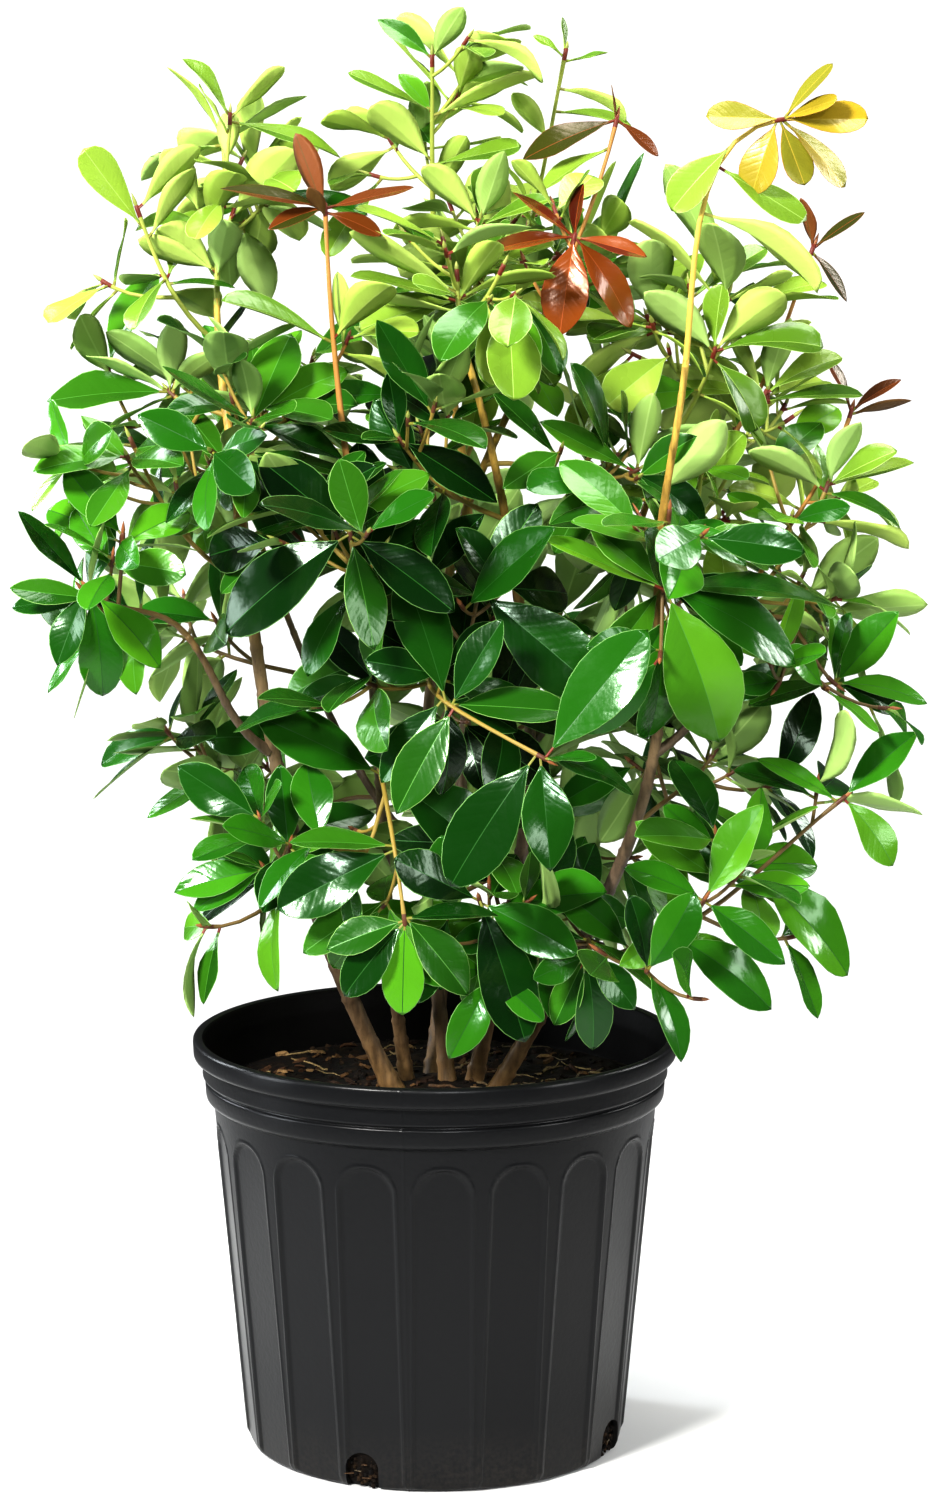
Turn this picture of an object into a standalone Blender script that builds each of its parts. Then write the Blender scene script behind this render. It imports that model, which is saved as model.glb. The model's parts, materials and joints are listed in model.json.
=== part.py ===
"""Potted cleyera: a many-stemmed evergreen shrub in a ribbed black nursery pot.

The frame is in metres with +Z up. Its origin is the centre of the pot's flat underside,
-Y is the front and +X the right-hand side. Six stems rise from the soil, boughs leave
them, and every mass of leaves grows from a limb by one seeded rule.
"""
import math
import random
from dataclasses import dataclass

import bmesh
import bpy
from mathutils import Matrix, Vector
from mathutils.bvhtree import BVHTree

# Driving dimensions of the pot
POT_HEIGHT = 0.241
RIM_RADIUS = 0.140
RIM_HEIGHT = 0.012
RIM_INNER_RADIUS = 0.134
UPPER_BAND_RADIUS = 0.1345
LOWER_BAND_RADIUS = 0.133
GROOVE_RADIUS = 0.1315
BAND_HEIGHT = 0.011
GROOVE_HEIGHT = 0.002
WALL_TOP = 0.203
WALL_TOP_RADIUS = 0.128
BASE_RADIUS = 0.110
BASE_ROUNDING = 0.006
WALL_THICKNESS = 0.003
RIM_ROLL = 0.003
SHOULDER = 0.002
INNER_DRAFT = 0.001
TURN_STEPS = 36

# Arched panels pressed into the wall, and drain holes at its foot
PANEL_COUNT = 18
PANEL_ANGLE = math.radians(16)
PANEL_ARCH_TOP = 0.192
PANEL_EDGE_DEPTH = 0.0007
PANEL_TURN = math.radians(-87.5)
DRAIN_COUNT = 4
DRAIN_WIDTH = 0.019
DRAIN_TOP = 0.022
DRAIN_TURN = math.radians(-112)
ARCH_STEPS = 5
CUTTER_FOOT = -0.010

# Soil and the gap that keeps neighbouring solids apart
SOIL_TOP = 0.206
GAP = 0.0003
START_STEP = 0.00005

# Wood
STEM_STEPS = 9
BOUGH_STEPS = 7
MASS_STEM_STEPS = 5
TWIG_STEPS = 2
CURVE_HANDLE = 0.38
END_SHARE = 0.05
START_LEAN = 0.7
TIP_LIFT = 0.6
FLARE = 0.45
FLARE_HEIGHT = 0.014
FOOT_BELOW_CUT = 0.010
CAP_CORNERS = 8
MASS_STEM_RADIUS = 0.00156
TWIG_TIP_RADIUS = 0.0010
SIDE_TWIG_RADIUS = 0.0013
TWIG_LENGTHS = (0.036, 0.056)
TWIG_SPACING = 0.34

# Leaves
LEAF_WIDEST = 0.60
LEAF_WIDTH = 0.51
LEAF_KEEL = 0.06
LEAF_DEPTH = 0.020
LEAF_LIFT = 0.055
LEAF_SINK = 0.0004
LEAF_STEP = 0.0015
BLADE_START = 0.18
TRIES = 8
LIGHT_ABOVE = 0.5
LIGHT_OUTWARD = 0.7
LIGHT_ALONG = 0.3
SHOOT_HEIGHTS = (0.52, 0.66)
VIEW_START = 0.004
VIEW_ROOM = 0.100
VIEW_SHEETS = 5
VIEW_SHARE = 0.75

# Room that the crown fills, and the room round a mass's own stem
CROWN_LOW = Vector((-0.236, -0.245, 0.252))
CROWN_HIGH = Vector((0.286, 0.240, 0.829))
MASS_ROOM = 0.125
CLEARANCE = 0.0005

GOLDEN_ANGLE = math.radians(137.5)
UP = Vector((0, 0, 1))
FRONT = Vector((0, -1, 0))


@dataclass
class Whorl:
    """Leaves close under one place of a twig: its share of the twig, the size of its leaves
    in shares of the mass's leaf, their spread from the twig in degrees and their droop.
    """
    place: float
    size: float
    spread: float
    droop: float


CROWN_WHORL = Whorl(1.0, 1.0, 48, 0.10)
TWIG_WHORL = Whorl(1.0, 0.90, 50, 0.15)
LOWER_WHORL = Whorl(0.56, 1.05, 62, 0.25)
TWIG_LEAVES = 4
WHORL_OPENING = 5
SIZE_RANGE = (0.80, 1.12)


@dataclass
class Limb:
    """One tapering stem or bough. `tip` is where it ends, and `aim` its heading there."""
    name: str
    parent: str
    along: float
    tip: tuple
    radii: tuple
    leave: tuple = None
    aim: tuple = None


@dataclass
class Mass:
    """One mass of leaves on its own stem, from a limb to `tip`.

    `leaf` is the length of its leaves, `crown` the seeded leaves of its end whorl, `lower`
    those of its second whorl and `twigs` its side twigs. `shown` lists leaves that are told
    apart from the front, each by its share of the stem, its heading in the front view, its
    lean towards the front, its length and how far its upper side faces the front.
    """
    name: str
    limb: str
    along: float
    tip: tuple
    tint: str = "dark"
    leaf: float = 0.060
    crown: int = 5
    lower: int = 3
    twigs: int = 2
    leave: tuple = None
    aim: tuple = None
    shown: tuple = ()


# Where each stem leaves the soil
STEM_FEET = {
    "stem_left": (-0.022, -0.012),
    "stem_left_inner": (-0.016, 0.012),
    "stem_centre": (0.008, 0.001),
    "stem_right_inner": (0.022, 0.009),
    "stem_right": (0.034, -0.008),
    "stem_back": (-0.002, 0.031),
}

STEMS = [
    Limb("stem_left", None, 0, (-0.108, -0.045, 0.547), (0.0050, 0.0030),
         (-0.48, -0.14, 1), (-0.10, 0.05, 1)),
    Limb("stem_left_inner", None, 0, (-0.040, -0.092, 0.525), (0.0038, 0.0024),
         (-0.14, -0.26, 1), (-0.12, -0.15, 1)),
    Limb("stem_centre", None, 0, (0.010, -0.030, 0.520), (0.0043, 0.0025),
         (-0.12, 0.14, 1), (0.22, -0.25, 1)),
    Limb("stem_right_inner", None, 0, (0.047, -0.064, 0.505), (0.0044, 0.0026),
         (0.20, -0.12, 1), (-0.16, -0.18, 1)),
    Limb("stem_right", None, 0, (0.124, -0.100, 0.493), (0.0046, 0.0026),
         (0.50, -0.34, 1), (-0.10, -0.30, 1)),
    Limb("stem_back", None, 0, (0.020, 0.100, 0.500), (0.0044, 0.0028),
         (0.10, 0.36, 1), (0.0, 0.02, 1)),
]

BOUGHS = [
    Limb("bough_left", "stem_left", 0.62, (-0.137, -0.066, 0.482), (0.0026, 0.0019),
         (-0.9, -0.3, 0.7), (-0.6, -0.2, 0.8)),
    Limb("bough_high_left", "stem_left", 1.0, (-0.122, -0.006, 0.665), (0.0030, 0.0018),
         None, (0.0, 0.02, 1)),
    Limb("bough_red_bud", "stem_right_inner", 1.0, (0.018, -0.092, 0.640), (0.0026, 0.0018),
         None, (-0.3, 0.0, 1)),
    Limb("bough_red", "stem_centre", 1.0, (0.058, -0.060, 0.650), (0.0025, 0.0017),
         None, (0.3, 0.0, 1)),
    Limb("bough_gold", "stem_right", 1.0, (0.136, -0.130, 0.640), (0.0026, 0.0018),
         None, (0.10, 0.0, 1)),
    Limb("bough_right_low", "stem_right", 0.34, (0.104, -0.088, 0.306), (0.0023, 0.0017),
         (0.9, -0.8, 0.1), (0.8, -0.8, 0.4)),
    Limb("bough_far_right", "stem_right", 0.76, (0.184, -0.055, 0.488), (0.0025, 0.0018),
         (0.9, 0.3, 0.5), (0.9, 0.1, 0.7)),
    Limb("bough_high_right", "stem_right_inner", 0.72, (0.138, 0.000, 0.590), (0.0027, 0.0018),
         (0.8, 0.5, 0.8), (0.5, 0.0, 1)),
    Limb("bough_top", "stem_back", 1.0, (0.000, 0.036, 0.690), (0.0028, 0.0018),
         None, (-0.05, -0.3, 1)),
    Limb("bough_back_left", "stem_back", 0.36, (-0.096, 0.104, 0.490), (0.0026, 0.0018),
         (-0.8, 0.3, 0.8), (-0.4, 0.1, 1)),
]

MASSES = [
    Mass("leaves_left_low", "stem_left", 0.36, (-0.096, -0.050, 0.348), leaf=0.060, crown=3, shown=(
        (1.0, 205, 5, 0.048, 40), (0.97, 186, 10, 0.054, 45), (0.94, 158, 0, 0.036, 20))),
    Mass("leaves_left_shelf", "stem_left", 0.48, (-0.142, 0.022, 0.412), leaf=0.060),
    Mass("leaves_far_left", "bough_left", 1.0, (-0.190, -0.100, 0.514), leaf=0.056, crown=1, shown=(
        (1.0, 130, 0, 0.057, 20), (0.98, -115, 10, 0.046, 40), (0.95, -78, 10, 0.064, 60),
        (0.90, -38, 15, 0.055, 45), (0.85, 175, 0, 0.050, 25))),
    Mass("leaves_left_crown", "stem_left", 0.90, (-0.168, -0.060, 0.592), "mid", leaf=0.060),
    Mass("leaves_left_front", "bough_high_left", 0.10, (-0.098, -0.098, 0.606), "mid", leaf=0.060,
         crown=2, shown=(
        (1.0, 95, 5, 0.038, -60), (0.97, 150, 5, 0.058, 25), (0.95, -20, 5, 0.060, 30))),
    Mass("leaves_left_high", "bough_high_left", 0.45, (-0.150, -0.010, 0.614), "mid", leaf=0.060,
         crown=2, shown=(
        (1.0, 178, 5, 0.070, 35), (0.98, 86, 5, 0.044, -65), (0.96, 150, 5, 0.052, -30),
        (0.95, 48, 10, 0.042, -45), (0.93, -50, 15, 0.046, 50))),
    Mass("leaves_far_left_tip", "bough_high_left", 0.80, (-0.166, -0.016, 0.717), "lime", leaf=0.050,
         crown=0, twigs=1, shown=(
        (1.0, 42, 0, 0.050, -35), (0.86, 129, 0, 0.056, 30), (0.80, 54, 5, 0.048, -40))),
    Mass("leaves_left_top", "bough_high_left", 1.0, (-0.114, 0.000, 0.768), "lime", leaf=0.052,
         crown=0, twigs=1, shown=(
        (1.0, 122, 0, 0.042, 25), (0.98, 40, 0, 0.042, -25), (0.96, -9, 5, 0.066, 25),
        (0.90, 108, 5, 0.046, 30), (0.74, 84, 5, 0.040, -70), (0.14, 160, 5, 0.048, -45),
        (0.12, 134, 0, 0.044, -60), (0.10, 78, 0, 0.050, -60))),
    Mass("leaves_bronze", "stem_left_inner", 1.0, (-0.058, -0.100, 0.722), "bronze", leaf=0.050,
         crown=0, lower=0, twigs=0, aim=(-0.03, 0, 1), shown=(
        (1.0, 168, 5, 0.058, 20), (0.99, 190, 15, 0.034, 30), (0.99, 14, 5, 0.050, 20),
        (0.98, -14, 15, 0.034, 30), (0.98, 110, -10, 0.046, -50), (0.97, 138, 0, 0.030, -20),
        (0.64, 52, 15, 0.052, -60), (0.63, 152, 10, 0.066, 18))),
    Mass("leaves_front_left", "stem_left_inner", 0.92, (-0.044, -0.150, 0.550), "mid", leaf=0.068,
         crown=1, shown=(
        (1.0, -150, 10, 0.090, 60), (0.97, -32, 12, 0.070, 55), (0.95, -75, 15, 0.062, 50))),
    Mass("leaves_front_low_left", "stem_left_inner", 0.64, (-0.015, -0.150, 0.335), leaf=0.060,
         crown=0, lower=0, twigs=1, leave=(0.05, -1, 0.1), aim=(0.12, -0.1, -1), shown=(
        (1.0, -92, 10, 0.052, 75), (0.99, -135, 10, 0.054, 60), (0.98, 196, 5, 0.046, 50),
        (0.97, 8, 5, 0.052, 25), (0.96, -47, 5, 0.058, 60), (0.66, 204, 10, 0.072, 55),
        (0.64, 174, 0, 0.058, 30), (0.12, 150, 10, 0.078, 55), (0.14, -27, 5, 0.094, 45))),
    Mass("leaves_front_twig", "stem_centre", 0.82, (0.061, -0.198, 0.434), leaf=0.068, crown=1, twigs=1,
         leave=(-0.1, -1, -0.1), aim=(1, -0.3, -0.5), shown=(
        (1.0, 52, 0, 0.088, 60), (0.99, -2, 10, 0.054, 30), (0.98, -84, 15, 0.062, 70),
        (0.97, -127, 5, 0.086, 55), (0.62, -122, 15, 0.066, 65), (0.60, 63, 10, 0.056, 65),
        (0.58, 0, 10, 0.068, 35), (0.56, 120, 5, 0.086, 25))),
    Mass("leaves_front_low", "stem_right_inner", 0.36, (0.025, -0.132, 0.347), leaf=0.064,
         crown=1, shown=(
        (1.0, -70, 12, 0.084, 70), (0.97, 150, 20, 0.058, 50), (0.95, -22, 20, 0.062, 60))),
    Mass("leaves_right_drip", "bough_right_low", 0.55, (0.083, -0.128, 0.312), leaf=0.056, crown=1, lower=2,
         twigs=1, aim=(-0.3, -0.6, -0.6), shown=(
        (1.0, -78, 5, 0.058, 60), (0.98, -104, 5, 0.046, 60), (0.96, -40, 5, 0.044, 55))),
    Mass("leaves_centre_front", "stem_centre", 0.66, (0.025, -0.118, 0.515), leaf=0.070, crown=2, shown=(
        (1.0, -38, 8, 0.090, 65), (0.97, 195, 5, 0.058, 50))),
    Mass("leaves_gold_foot", "bough_gold", 0.14, (0.125, -0.146, 0.519), leaf=0.066, crown=0, shown=(
        (1.0, -64, 10, 0.098, 72), (0.99, -15, 5, 0.088, 45), (0.97, 7, 0, 0.100, 20),
        (0.95, 156, 5, 0.072, 18), (0.93, 136, 0, 0.054, 40))),
    Mass("leaves_gold", "bough_gold", 1.0, (0.188, -0.130, 0.768), "gold", leaf=0.050,
         crown=0, lower=0, twigs=0, aim=(1, 0, 0.1), shown=(
        (1.0, 176, 10, 0.042, 45), (0.99, 52, 0, 0.040, 20), (1.0, 27, 30, 0.034, 35),
        (1.0, 1, 10, 0.046, 50), (0.99, -40, 0, 0.050, 25), (0.98, -68, 15, 0.038, 45),
        (0.97, -114, 15, 0.042, 50), (0.76, 221, 10, 0.048, 60), (0.66, -31, 8, 0.056, 30),
        (0.48, -9, 0, 0.080, -25))),
    Mass("leaves_red_bud", "bough_red_bud", 1.0, (0.013, -0.090, 0.686), "lime", leaf=0.054,
         crown=0, lower=1, twigs=1, shown=(
        (0.74, 150, 0, 0.068, -30), (0.70, 124, 8, 0.044, 30), (0.68, 27, 0, 0.056, -22),
        (0.64, 62, 12, 0.044, -60))),
    Mass("leaves_red", "bough_red", 1.0, (0.078, -0.060, 0.704), "red", leaf=0.050,
         crown=0, lower=0, twigs=0, shown=(
        (1.0, 181, 10, 0.054, 20), (0.99, -100, 20, 0.056, 70), (0.98, -48, 10, 0.060, 35),
        (0.97, -12, 0, 0.042, 20), (0.98, 144, 0, 0.042, 20), (1.0, 88, 0, 0.030, 30))),
    Mass("leaves_centre_high", "bough_top", 0.70, (0.026, -0.020, 0.710), "lime", leaf=0.054,
         crown=1, shown=(
        (1.0, 72, 0, 0.042, -65), (0.98, 130, 0, 0.046, -60), (0.96, 28, 0, 0.044, 25),
        (0.94, 168, 5, 0.050, -20))),
    Mass("leaves_top", "bough_top", 1.0, (-0.001, 0.006, 0.800), "lime", leaf=0.052, crown=0, lower=1,
         twigs=1, shown=(
        (1.0, 138, 0, 0.038, 35), (0.99, 62, 0, 0.034, -65), (0.74, 157, 0, 0.052, 15),
        (0.72, 98, 10, 0.034, 65), (0.71, 21, 0, 0.064, -25), (0.46, 126, 10, 0.052, -60),
        (0.44, 12, 0, 0.052, 12), (0.26, 76, 10, 0.044, -60))),
    Mass("leaves_top_right", "bough_top", 0.55, (0.075, 0.050, 0.803), "lime", leaf=0.046, crown=0, lower=2,
         twigs=1, shown=(
        (1.0, 94, 0, 0.020, 20), (0.98, 138, 0, 0.022, 10), (0.97, 8, 0, 0.026, 10),
        (0.90, -8, 5, 0.046, -30), (0.84, 11, 0, 0.058, 8), (0.76, 124, 8, 0.036, -60))),
    Mass("leaves_dusky_tip", "bough_red", 0.80, (0.103, 0.010, 0.766), "bronze", leaf=0.044, crown=0,
         lower=0, twigs=0, shown=(
        (0.99, 197, 5, 0.058, 25), (1.0, -38, 0, 0.032, 20), (0.90, 206, 5, 0.046, 20),
        (1.0, 98, 0, 0.020, 10))),
    Mass("leaves_right_high", "bough_high_right", 0.80, (0.216, 0.030, 0.693), "bronze", leaf=0.040,
         crown=0, lower=0, twigs=0, shown=(
        (1.0, 98, 0, 0.030, -40), (0.99, 38, 0, 0.036, 20), (0.98, -48, 0, 0.036, 25),
        (0.50, 160, 5, 0.050, 25))),
    Mass("leaves_right_red_node", "bough_high_right", 1.0, (0.157, -0.030, 0.639), "lime", leaf=0.056,
         crown=0, shown=(
        (1.0, 88, 5, 0.038, 50), (0.98, 47, 0, 0.052, -60), (0.97, 24, 0, 0.064, 12),
        (0.96, 130, 5, 0.056, -50), (0.90, -42, 10, 0.050, 35))),
    Mass("leaves_far_right_high", "bough_far_right", 0.84, (0.238, 0.020, 0.601), "bronze", leaf=0.040,
         crown=0, lower=0, twigs=0, shown=(
        (1.0, 108, 0, 0.036, 20), (0.99, 40, 0, 0.034, 15), (0.98, 14, 0, 0.036, -30),
        (0.60, 150, 5, 0.044, 25))),
    Mass("leaves_right_lime", "bough_high_right", 0.58, (0.188, 0.000, 0.613), "lime", leaf=0.052,
         crown=0, shown=(
        (1.0, 78, 0, 0.046, -62), (0.98, 38, 0, 0.050, 30), (0.97, 118, 0, 0.044, -30),
        (0.95, 10, 0, 0.058, 5))),
    Mass("leaves_right_shoulder", "bough_far_right", 0.70, (0.222, -0.020, 0.563), "mid", leaf=0.058,
         crown=1, shown=(
        (1.0, 72, 0, 0.042, -60), (0.98, 40, 0, 0.046, 40), (0.96, 142, 5, 0.052, -30),
        (0.95, -8, 5, 0.050, 25))),
    Mass("leaves_far_right", "bough_far_right", 1.0, (0.226, -0.045, 0.451), leaf=0.056, crown=1,
         aim=(0.8, 0, -0.6), shown=(
        (1.0, 88, 5, 0.042, 45), (0.99, 50, 10, 0.056, 60), (0.97, 2, 0, 0.056, 20),
        (0.96, 188, 5, 0.050, 20))),
    Mass("leaves_right_shelf", "stem_right", 0.60, (0.160, -0.026, 0.412), leaf=0.064),
    Mass("leaves_right_reach", "bough_right_low", 0.80, (0.228, -0.092, 0.396), leaf=0.058, crown=0, twigs=1,
         leave=(1, 0.3, 0.2), aim=(1, 0, 0.8), shown=(
        (1.0, 47, 0, 0.056, 50), (0.99, -43, 5, 0.050, 45), (0.97, 142, 0, 0.052, 30),
        (0.60, -38, 8, 0.082, 50))),
    Mass("leaves_right_low", "bough_right_low", 1.0, (0.148, -0.142, 0.348), leaf=0.062,
         crown=0, shown=(
        (1.0, 145, 5, 0.048, 40), (1.0, 59, 5, 0.064, 55), (0.99, -33, 5, 0.058, 50),
        (0.55, -26, 12, 0.074, 55), (0.10, 133, 5, 0.056, 55))),
    Mass("leaves_inner_left", "bough_red_bud", 0.30, (-0.019, -0.100, 0.596), "mid", leaf=0.062,
         crown=1, shown=(
        (1.0, 98, 8, 0.038, 70), (0.98, -30, 8, 0.064, 55), (0.96, 152, 5, 0.052, 30))),
    Mass("leaves_inner_right", "bough_red", 0.42, (0.113, -0.085, 0.577), "mid", leaf=0.062, crown=2, shown=(
        (1.0, 80, 0, 0.044, -62), (0.97, 152, 5, 0.060, 20), (0.95, -22, 5, 0.054, 45))),
    Mass("leaves_back_low_left", "bough_back_left", 0.30, (-0.100, 0.130, 0.352), leaf=0.064),
    Mass("leaves_back_low", "stem_back", 0.42, (0.030, 0.176, 0.362), leaf=0.066),
    Mass("leaves_back_low_right", "stem_back", 0.34, (0.124, 0.112, 0.372), leaf=0.064),
    Mass("leaves_back_left", "bough_back_left", 0.72, (-0.164, 0.120, 0.470), leaf=0.062),
    Mass("leaves_back_left_high", "bough_back_left", 1.0, (-0.108, 0.124, 0.610), "mid", leaf=0.060),
    Mass("leaves_back", "stem_back", 0.84, (0.006, 0.190, 0.520), leaf=0.064),
    Mass("leaves_back_right", "stem_back", 0.62, (0.150, 0.130, 0.510), leaf=0.064),
    Mass("leaves_back_top", "bough_top", 0.30, (0.050, 0.134, 0.668), "mid", leaf=0.058),
]

# Colours in linear RGB, with roughness and metallic value
SURFACES = {
    "pot": ((0.012, 0.012, 0.013), 0.42, 0.0),
    "soil": ((0.035, 0.022, 0.014), 0.95, 0.0),
    "bark": ((0.190, 0.105, 0.060), 0.80, 0.0),
    "young_bark": ((0.420, 0.210, 0.065), 0.60, 0.0),
    "dark": ((0.022, 0.110, 0.018), 0.32, 0.0),
    "mid": ((0.060, 0.200, 0.028), 0.36, 0.0),
    "lime": ((0.230, 0.430, 0.070), 0.42, 0.0),
    "bronze": ((0.170, 0.085, 0.038), 0.40, 0.0),
    "red": ((0.300, 0.040, 0.018), 0.36, 0.0),
    "gold": ((0.520, 0.400, 0.060), 0.42, 0.0),
}


# Scene helpers

def clear_scene():
    """Removes the objects that the file opened with."""
    for thing in list(bpy.data.objects):
        bpy.data.objects.remove(thing)


def new_collection(name):
    collection = bpy.data.collections.new(name)
    bpy.context.scene.collection.children.link(collection)
    return collection


def surface(name):
    """The material of that name, made on first use."""
    material = bpy.data.materials.get(name)
    if material:
        return material
    colour, roughness, metallic = SURFACES[name]
    material = bpy.data.materials.new(name)
    material.use_nodes = True
    shader = material.node_tree.nodes["Principled BSDF"]
    shader.inputs["Base Color"].default_value = (*colour, 1.0)
    shader.inputs["Roughness"].default_value = roughness
    shader.inputs["Metallic"].default_value = metallic
    material.diffuse_color = (*colour, 1.0)
    return material


def add_object(name, data, collection, surface_name=None):
    thing = bpy.data.objects.new(name, data)
    collection.objects.link(thing)
    if surface_name:
        data.materials.append(surface(surface_name))
    return thing


def evaluated_mesh(thing):
    """A new mesh of the object as it stands with its modifiers."""
    depsgraph = bpy.context.evaluated_depsgraph_get()
    return bpy.data.meshes.new_from_object(thing.evaluated_get(depsgraph))


def mesh_from(name, points, faces):
    mesh = bpy.data.meshes.new(name)
    mesh.from_pydata([tuple(point) for point in points], [], faces)
    return mesh


# The pot and its soil

def wall_radius(height):
    """Outer radius of the plain wall at a height over the ground."""
    rise = (height - BASE_ROUNDING) / (WALL_TOP - BASE_ROUNDING)
    return BASE_RADIUS + (WALL_TOP_RADIUS - BASE_RADIUS) * rise


def turned_object(name, profile, steps, collection, surface_name):
    """Turns a profile of (radius, height) pairs about the pot's axis."""
    points = [(radius, 0, height) for radius, height in profile]
    mesh = bpy.data.meshes.new(name)
    mesh.from_pydata(points, [(i, i + 1) for i in range(len(points) - 1)], [])
    thing = add_object(name, mesh, collection, surface_name)
    thing.rotation_euler.z = PANEL_TURN - math.pi / TURN_STEPS
    screw = thing.modifiers.new("Turn", "SCREW")
    screw.steps = steps
    screw.render_steps = steps
    screw.use_merge_vertices = True
    screw.merge_threshold = 0.0001
    return thing


def pot_profile():
    """From the middle of the floor, up the inner wall, over the rim and down outside."""
    rim_foot = POT_HEIGHT - RIM_HEIGHT
    groove_top = rim_foot - BAND_HEIGHT
    groove_foot = groove_top - GROOVE_HEIGHT
    inner_floor = wall_radius(WALL_THICKNESS) - WALL_THICKNESS
    band_inner = LOWER_BAND_RADIUS - WALL_THICKNESS
    half_roll = RIM_ROLL / 2
    rounding = BASE_ROUNDING * 0.3
    return [
        (0, WALL_THICKNESS),
        (inner_floor, WALL_THICKNESS),
        (WALL_TOP_RADIUS - WALL_THICKNESS, WALL_TOP),
        (band_inner, WALL_TOP + WALL_THICKNESS),
        (band_inner + INNER_DRAFT, rim_foot),
        (RIM_INNER_RADIUS, POT_HEIGHT - half_roll),
        (RIM_INNER_RADIUS + half_roll, POT_HEIGHT),
        (RIM_RADIUS - RIM_ROLL, POT_HEIGHT),
        (RIM_RADIUS, POT_HEIGHT - RIM_ROLL),
        (RIM_RADIUS, rim_foot + RIM_ROLL),
        (UPPER_BAND_RADIUS, rim_foot),
        (UPPER_BAND_RADIUS, groove_top),
        (GROOVE_RADIUS, groove_top),
        (GROOVE_RADIUS, groove_foot),
        (LOWER_BAND_RADIUS, groove_foot),
        (LOWER_BAND_RADIUS, WALL_TOP + SHOULDER),
        (WALL_TOP_RADIUS, WALL_TOP),
        (wall_radius(BASE_ROUNDING), BASE_ROUNDING),
        (BASE_RADIUS - rounding, rounding),
        (BASE_RADIUS - BASE_ROUNDING, 0),
        (0, 0),
    ]


def arch_cutter(name, half_width, foot, top, near, far, lean, turn, collection):
    """An upright arch, from radius `near` to `far`, leaning with the wall."""
    spring = top - half_width
    outline = [(-half_width, foot), (half_width, foot)]
    for step in range(ARCH_STEPS + 1):
        angle = math.pi * step / ARCH_STEPS
        outline.append((half_width * math.cos(angle), spring + half_width * math.sin(angle)))
    shape = bmesh.new()
    corners = [shape.verts.new((0, across, height)) for across, height in outline]
    face = shape.faces.new(corners)
    pulled = bmesh.ops.extrude_face_region(shape, geom=[face])
    moved = [item for item in pulled["geom"] if isinstance(item, bmesh.types.BMVert)]
    bmesh.ops.translate(shape, verts=moved, vec=(far - near, 0, 0))
    bmesh.ops.recalc_face_normals(shape, faces=shape.faces)
    bmesh.ops.rotate(shape, verts=shape.verts, cent=(0, 0, 0), matrix=Matrix.Rotation(lean, 3, "Y"))
    bmesh.ops.translate(shape, verts=shape.verts, vec=(near, 0, 0))
    bmesh.ops.rotate(shape, verts=shape.verts, cent=(0, 0, 0), matrix=Matrix.Rotation(turn, 3, "Z"))
    mesh = bpy.data.meshes.new(name)
    shape.to_mesh(mesh)
    shape.free()
    cutter = add_object(name, mesh, collection)
    cutter.hide_render = True
    cutter.display_type = "WIRE"
    return cutter


def build_pot(collection, cutters):
    """The blow-moulded pot, with its arched panels and drain holes cut."""
    pot = turned_object("pot", pot_profile(), TURN_STEPS, collection, "pot")
    lean = math.atan((WALL_TOP_RADIUS - BASE_RADIUS) / (WALL_TOP - BASE_ROUNDING))
    foot_radius = wall_radius(0)
    drain_floor = foot_radius - 2 * WALL_THICKNESS - PANEL_EDGE_DEPTH
    middle_radius = wall_radius(PANEL_ARCH_TOP / 2)
    half_panel = middle_radius * math.sin(PANEL_ANGLE / 2)
    panel_floor = foot_radius * math.cos(PANEL_ANGLE / 2) - PANEL_EDGE_DEPTH
    for index in range(PANEL_COUNT):
        turn = PANEL_TURN + math.tau * index / PANEL_COUNT
        arch_cutter(f"panel_cutter_{index}", half_panel, CUTTER_FOOT, PANEL_ARCH_TOP, panel_floor,
                    RIM_RADIUS, lean, turn, cutters)
    for index in range(DRAIN_COUNT):
        turn = DRAIN_TURN + math.tau * index / DRAIN_COUNT
        arch_cutter(f"drain_cutter_{index}", DRAIN_WIDTH / 2, CUTTER_FOOT, DRAIN_TOP,
                    drain_floor, RIM_RADIUS, lean, turn, cutters)
    cut = pot.modifiers.new("Panels and drains", "BOOLEAN")
    cut.operation = "DIFFERENCE"
    cut.operand_type = "COLLECTION"
    cut.collection = cutters
    return pot


def build_soil(collection):
    """The potting soil, a gap clear of the pot all round, with a level top."""
    floor = WALL_THICKNESS + GAP
    profile = [
        (0, SOIL_TOP),
        (LOWER_BAND_RADIUS - WALL_THICKNESS - 3 * GAP, SOIL_TOP),
        (WALL_TOP_RADIUS - WALL_THICKNESS - 2 * GAP, WALL_TOP),
        (wall_radius(floor) - WALL_THICKNESS - GAP, floor),
        (0, floor),
    ]
    return turned_object("soil", profile, TURN_STEPS // 2, collection, "soil")


# Curved runs of wood

def even_shares(steps):
    return [step / steps for step in range(steps + 1)]


def square_shares(steps):
    """Shares of a run's length with a short step at each end, so that its ends are square."""
    inner = [END_SHARE + (1 - 2 * END_SHARE) * share for share in even_shares(steps - 2)]
    return [0.0, *inner, 1.0]


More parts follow.
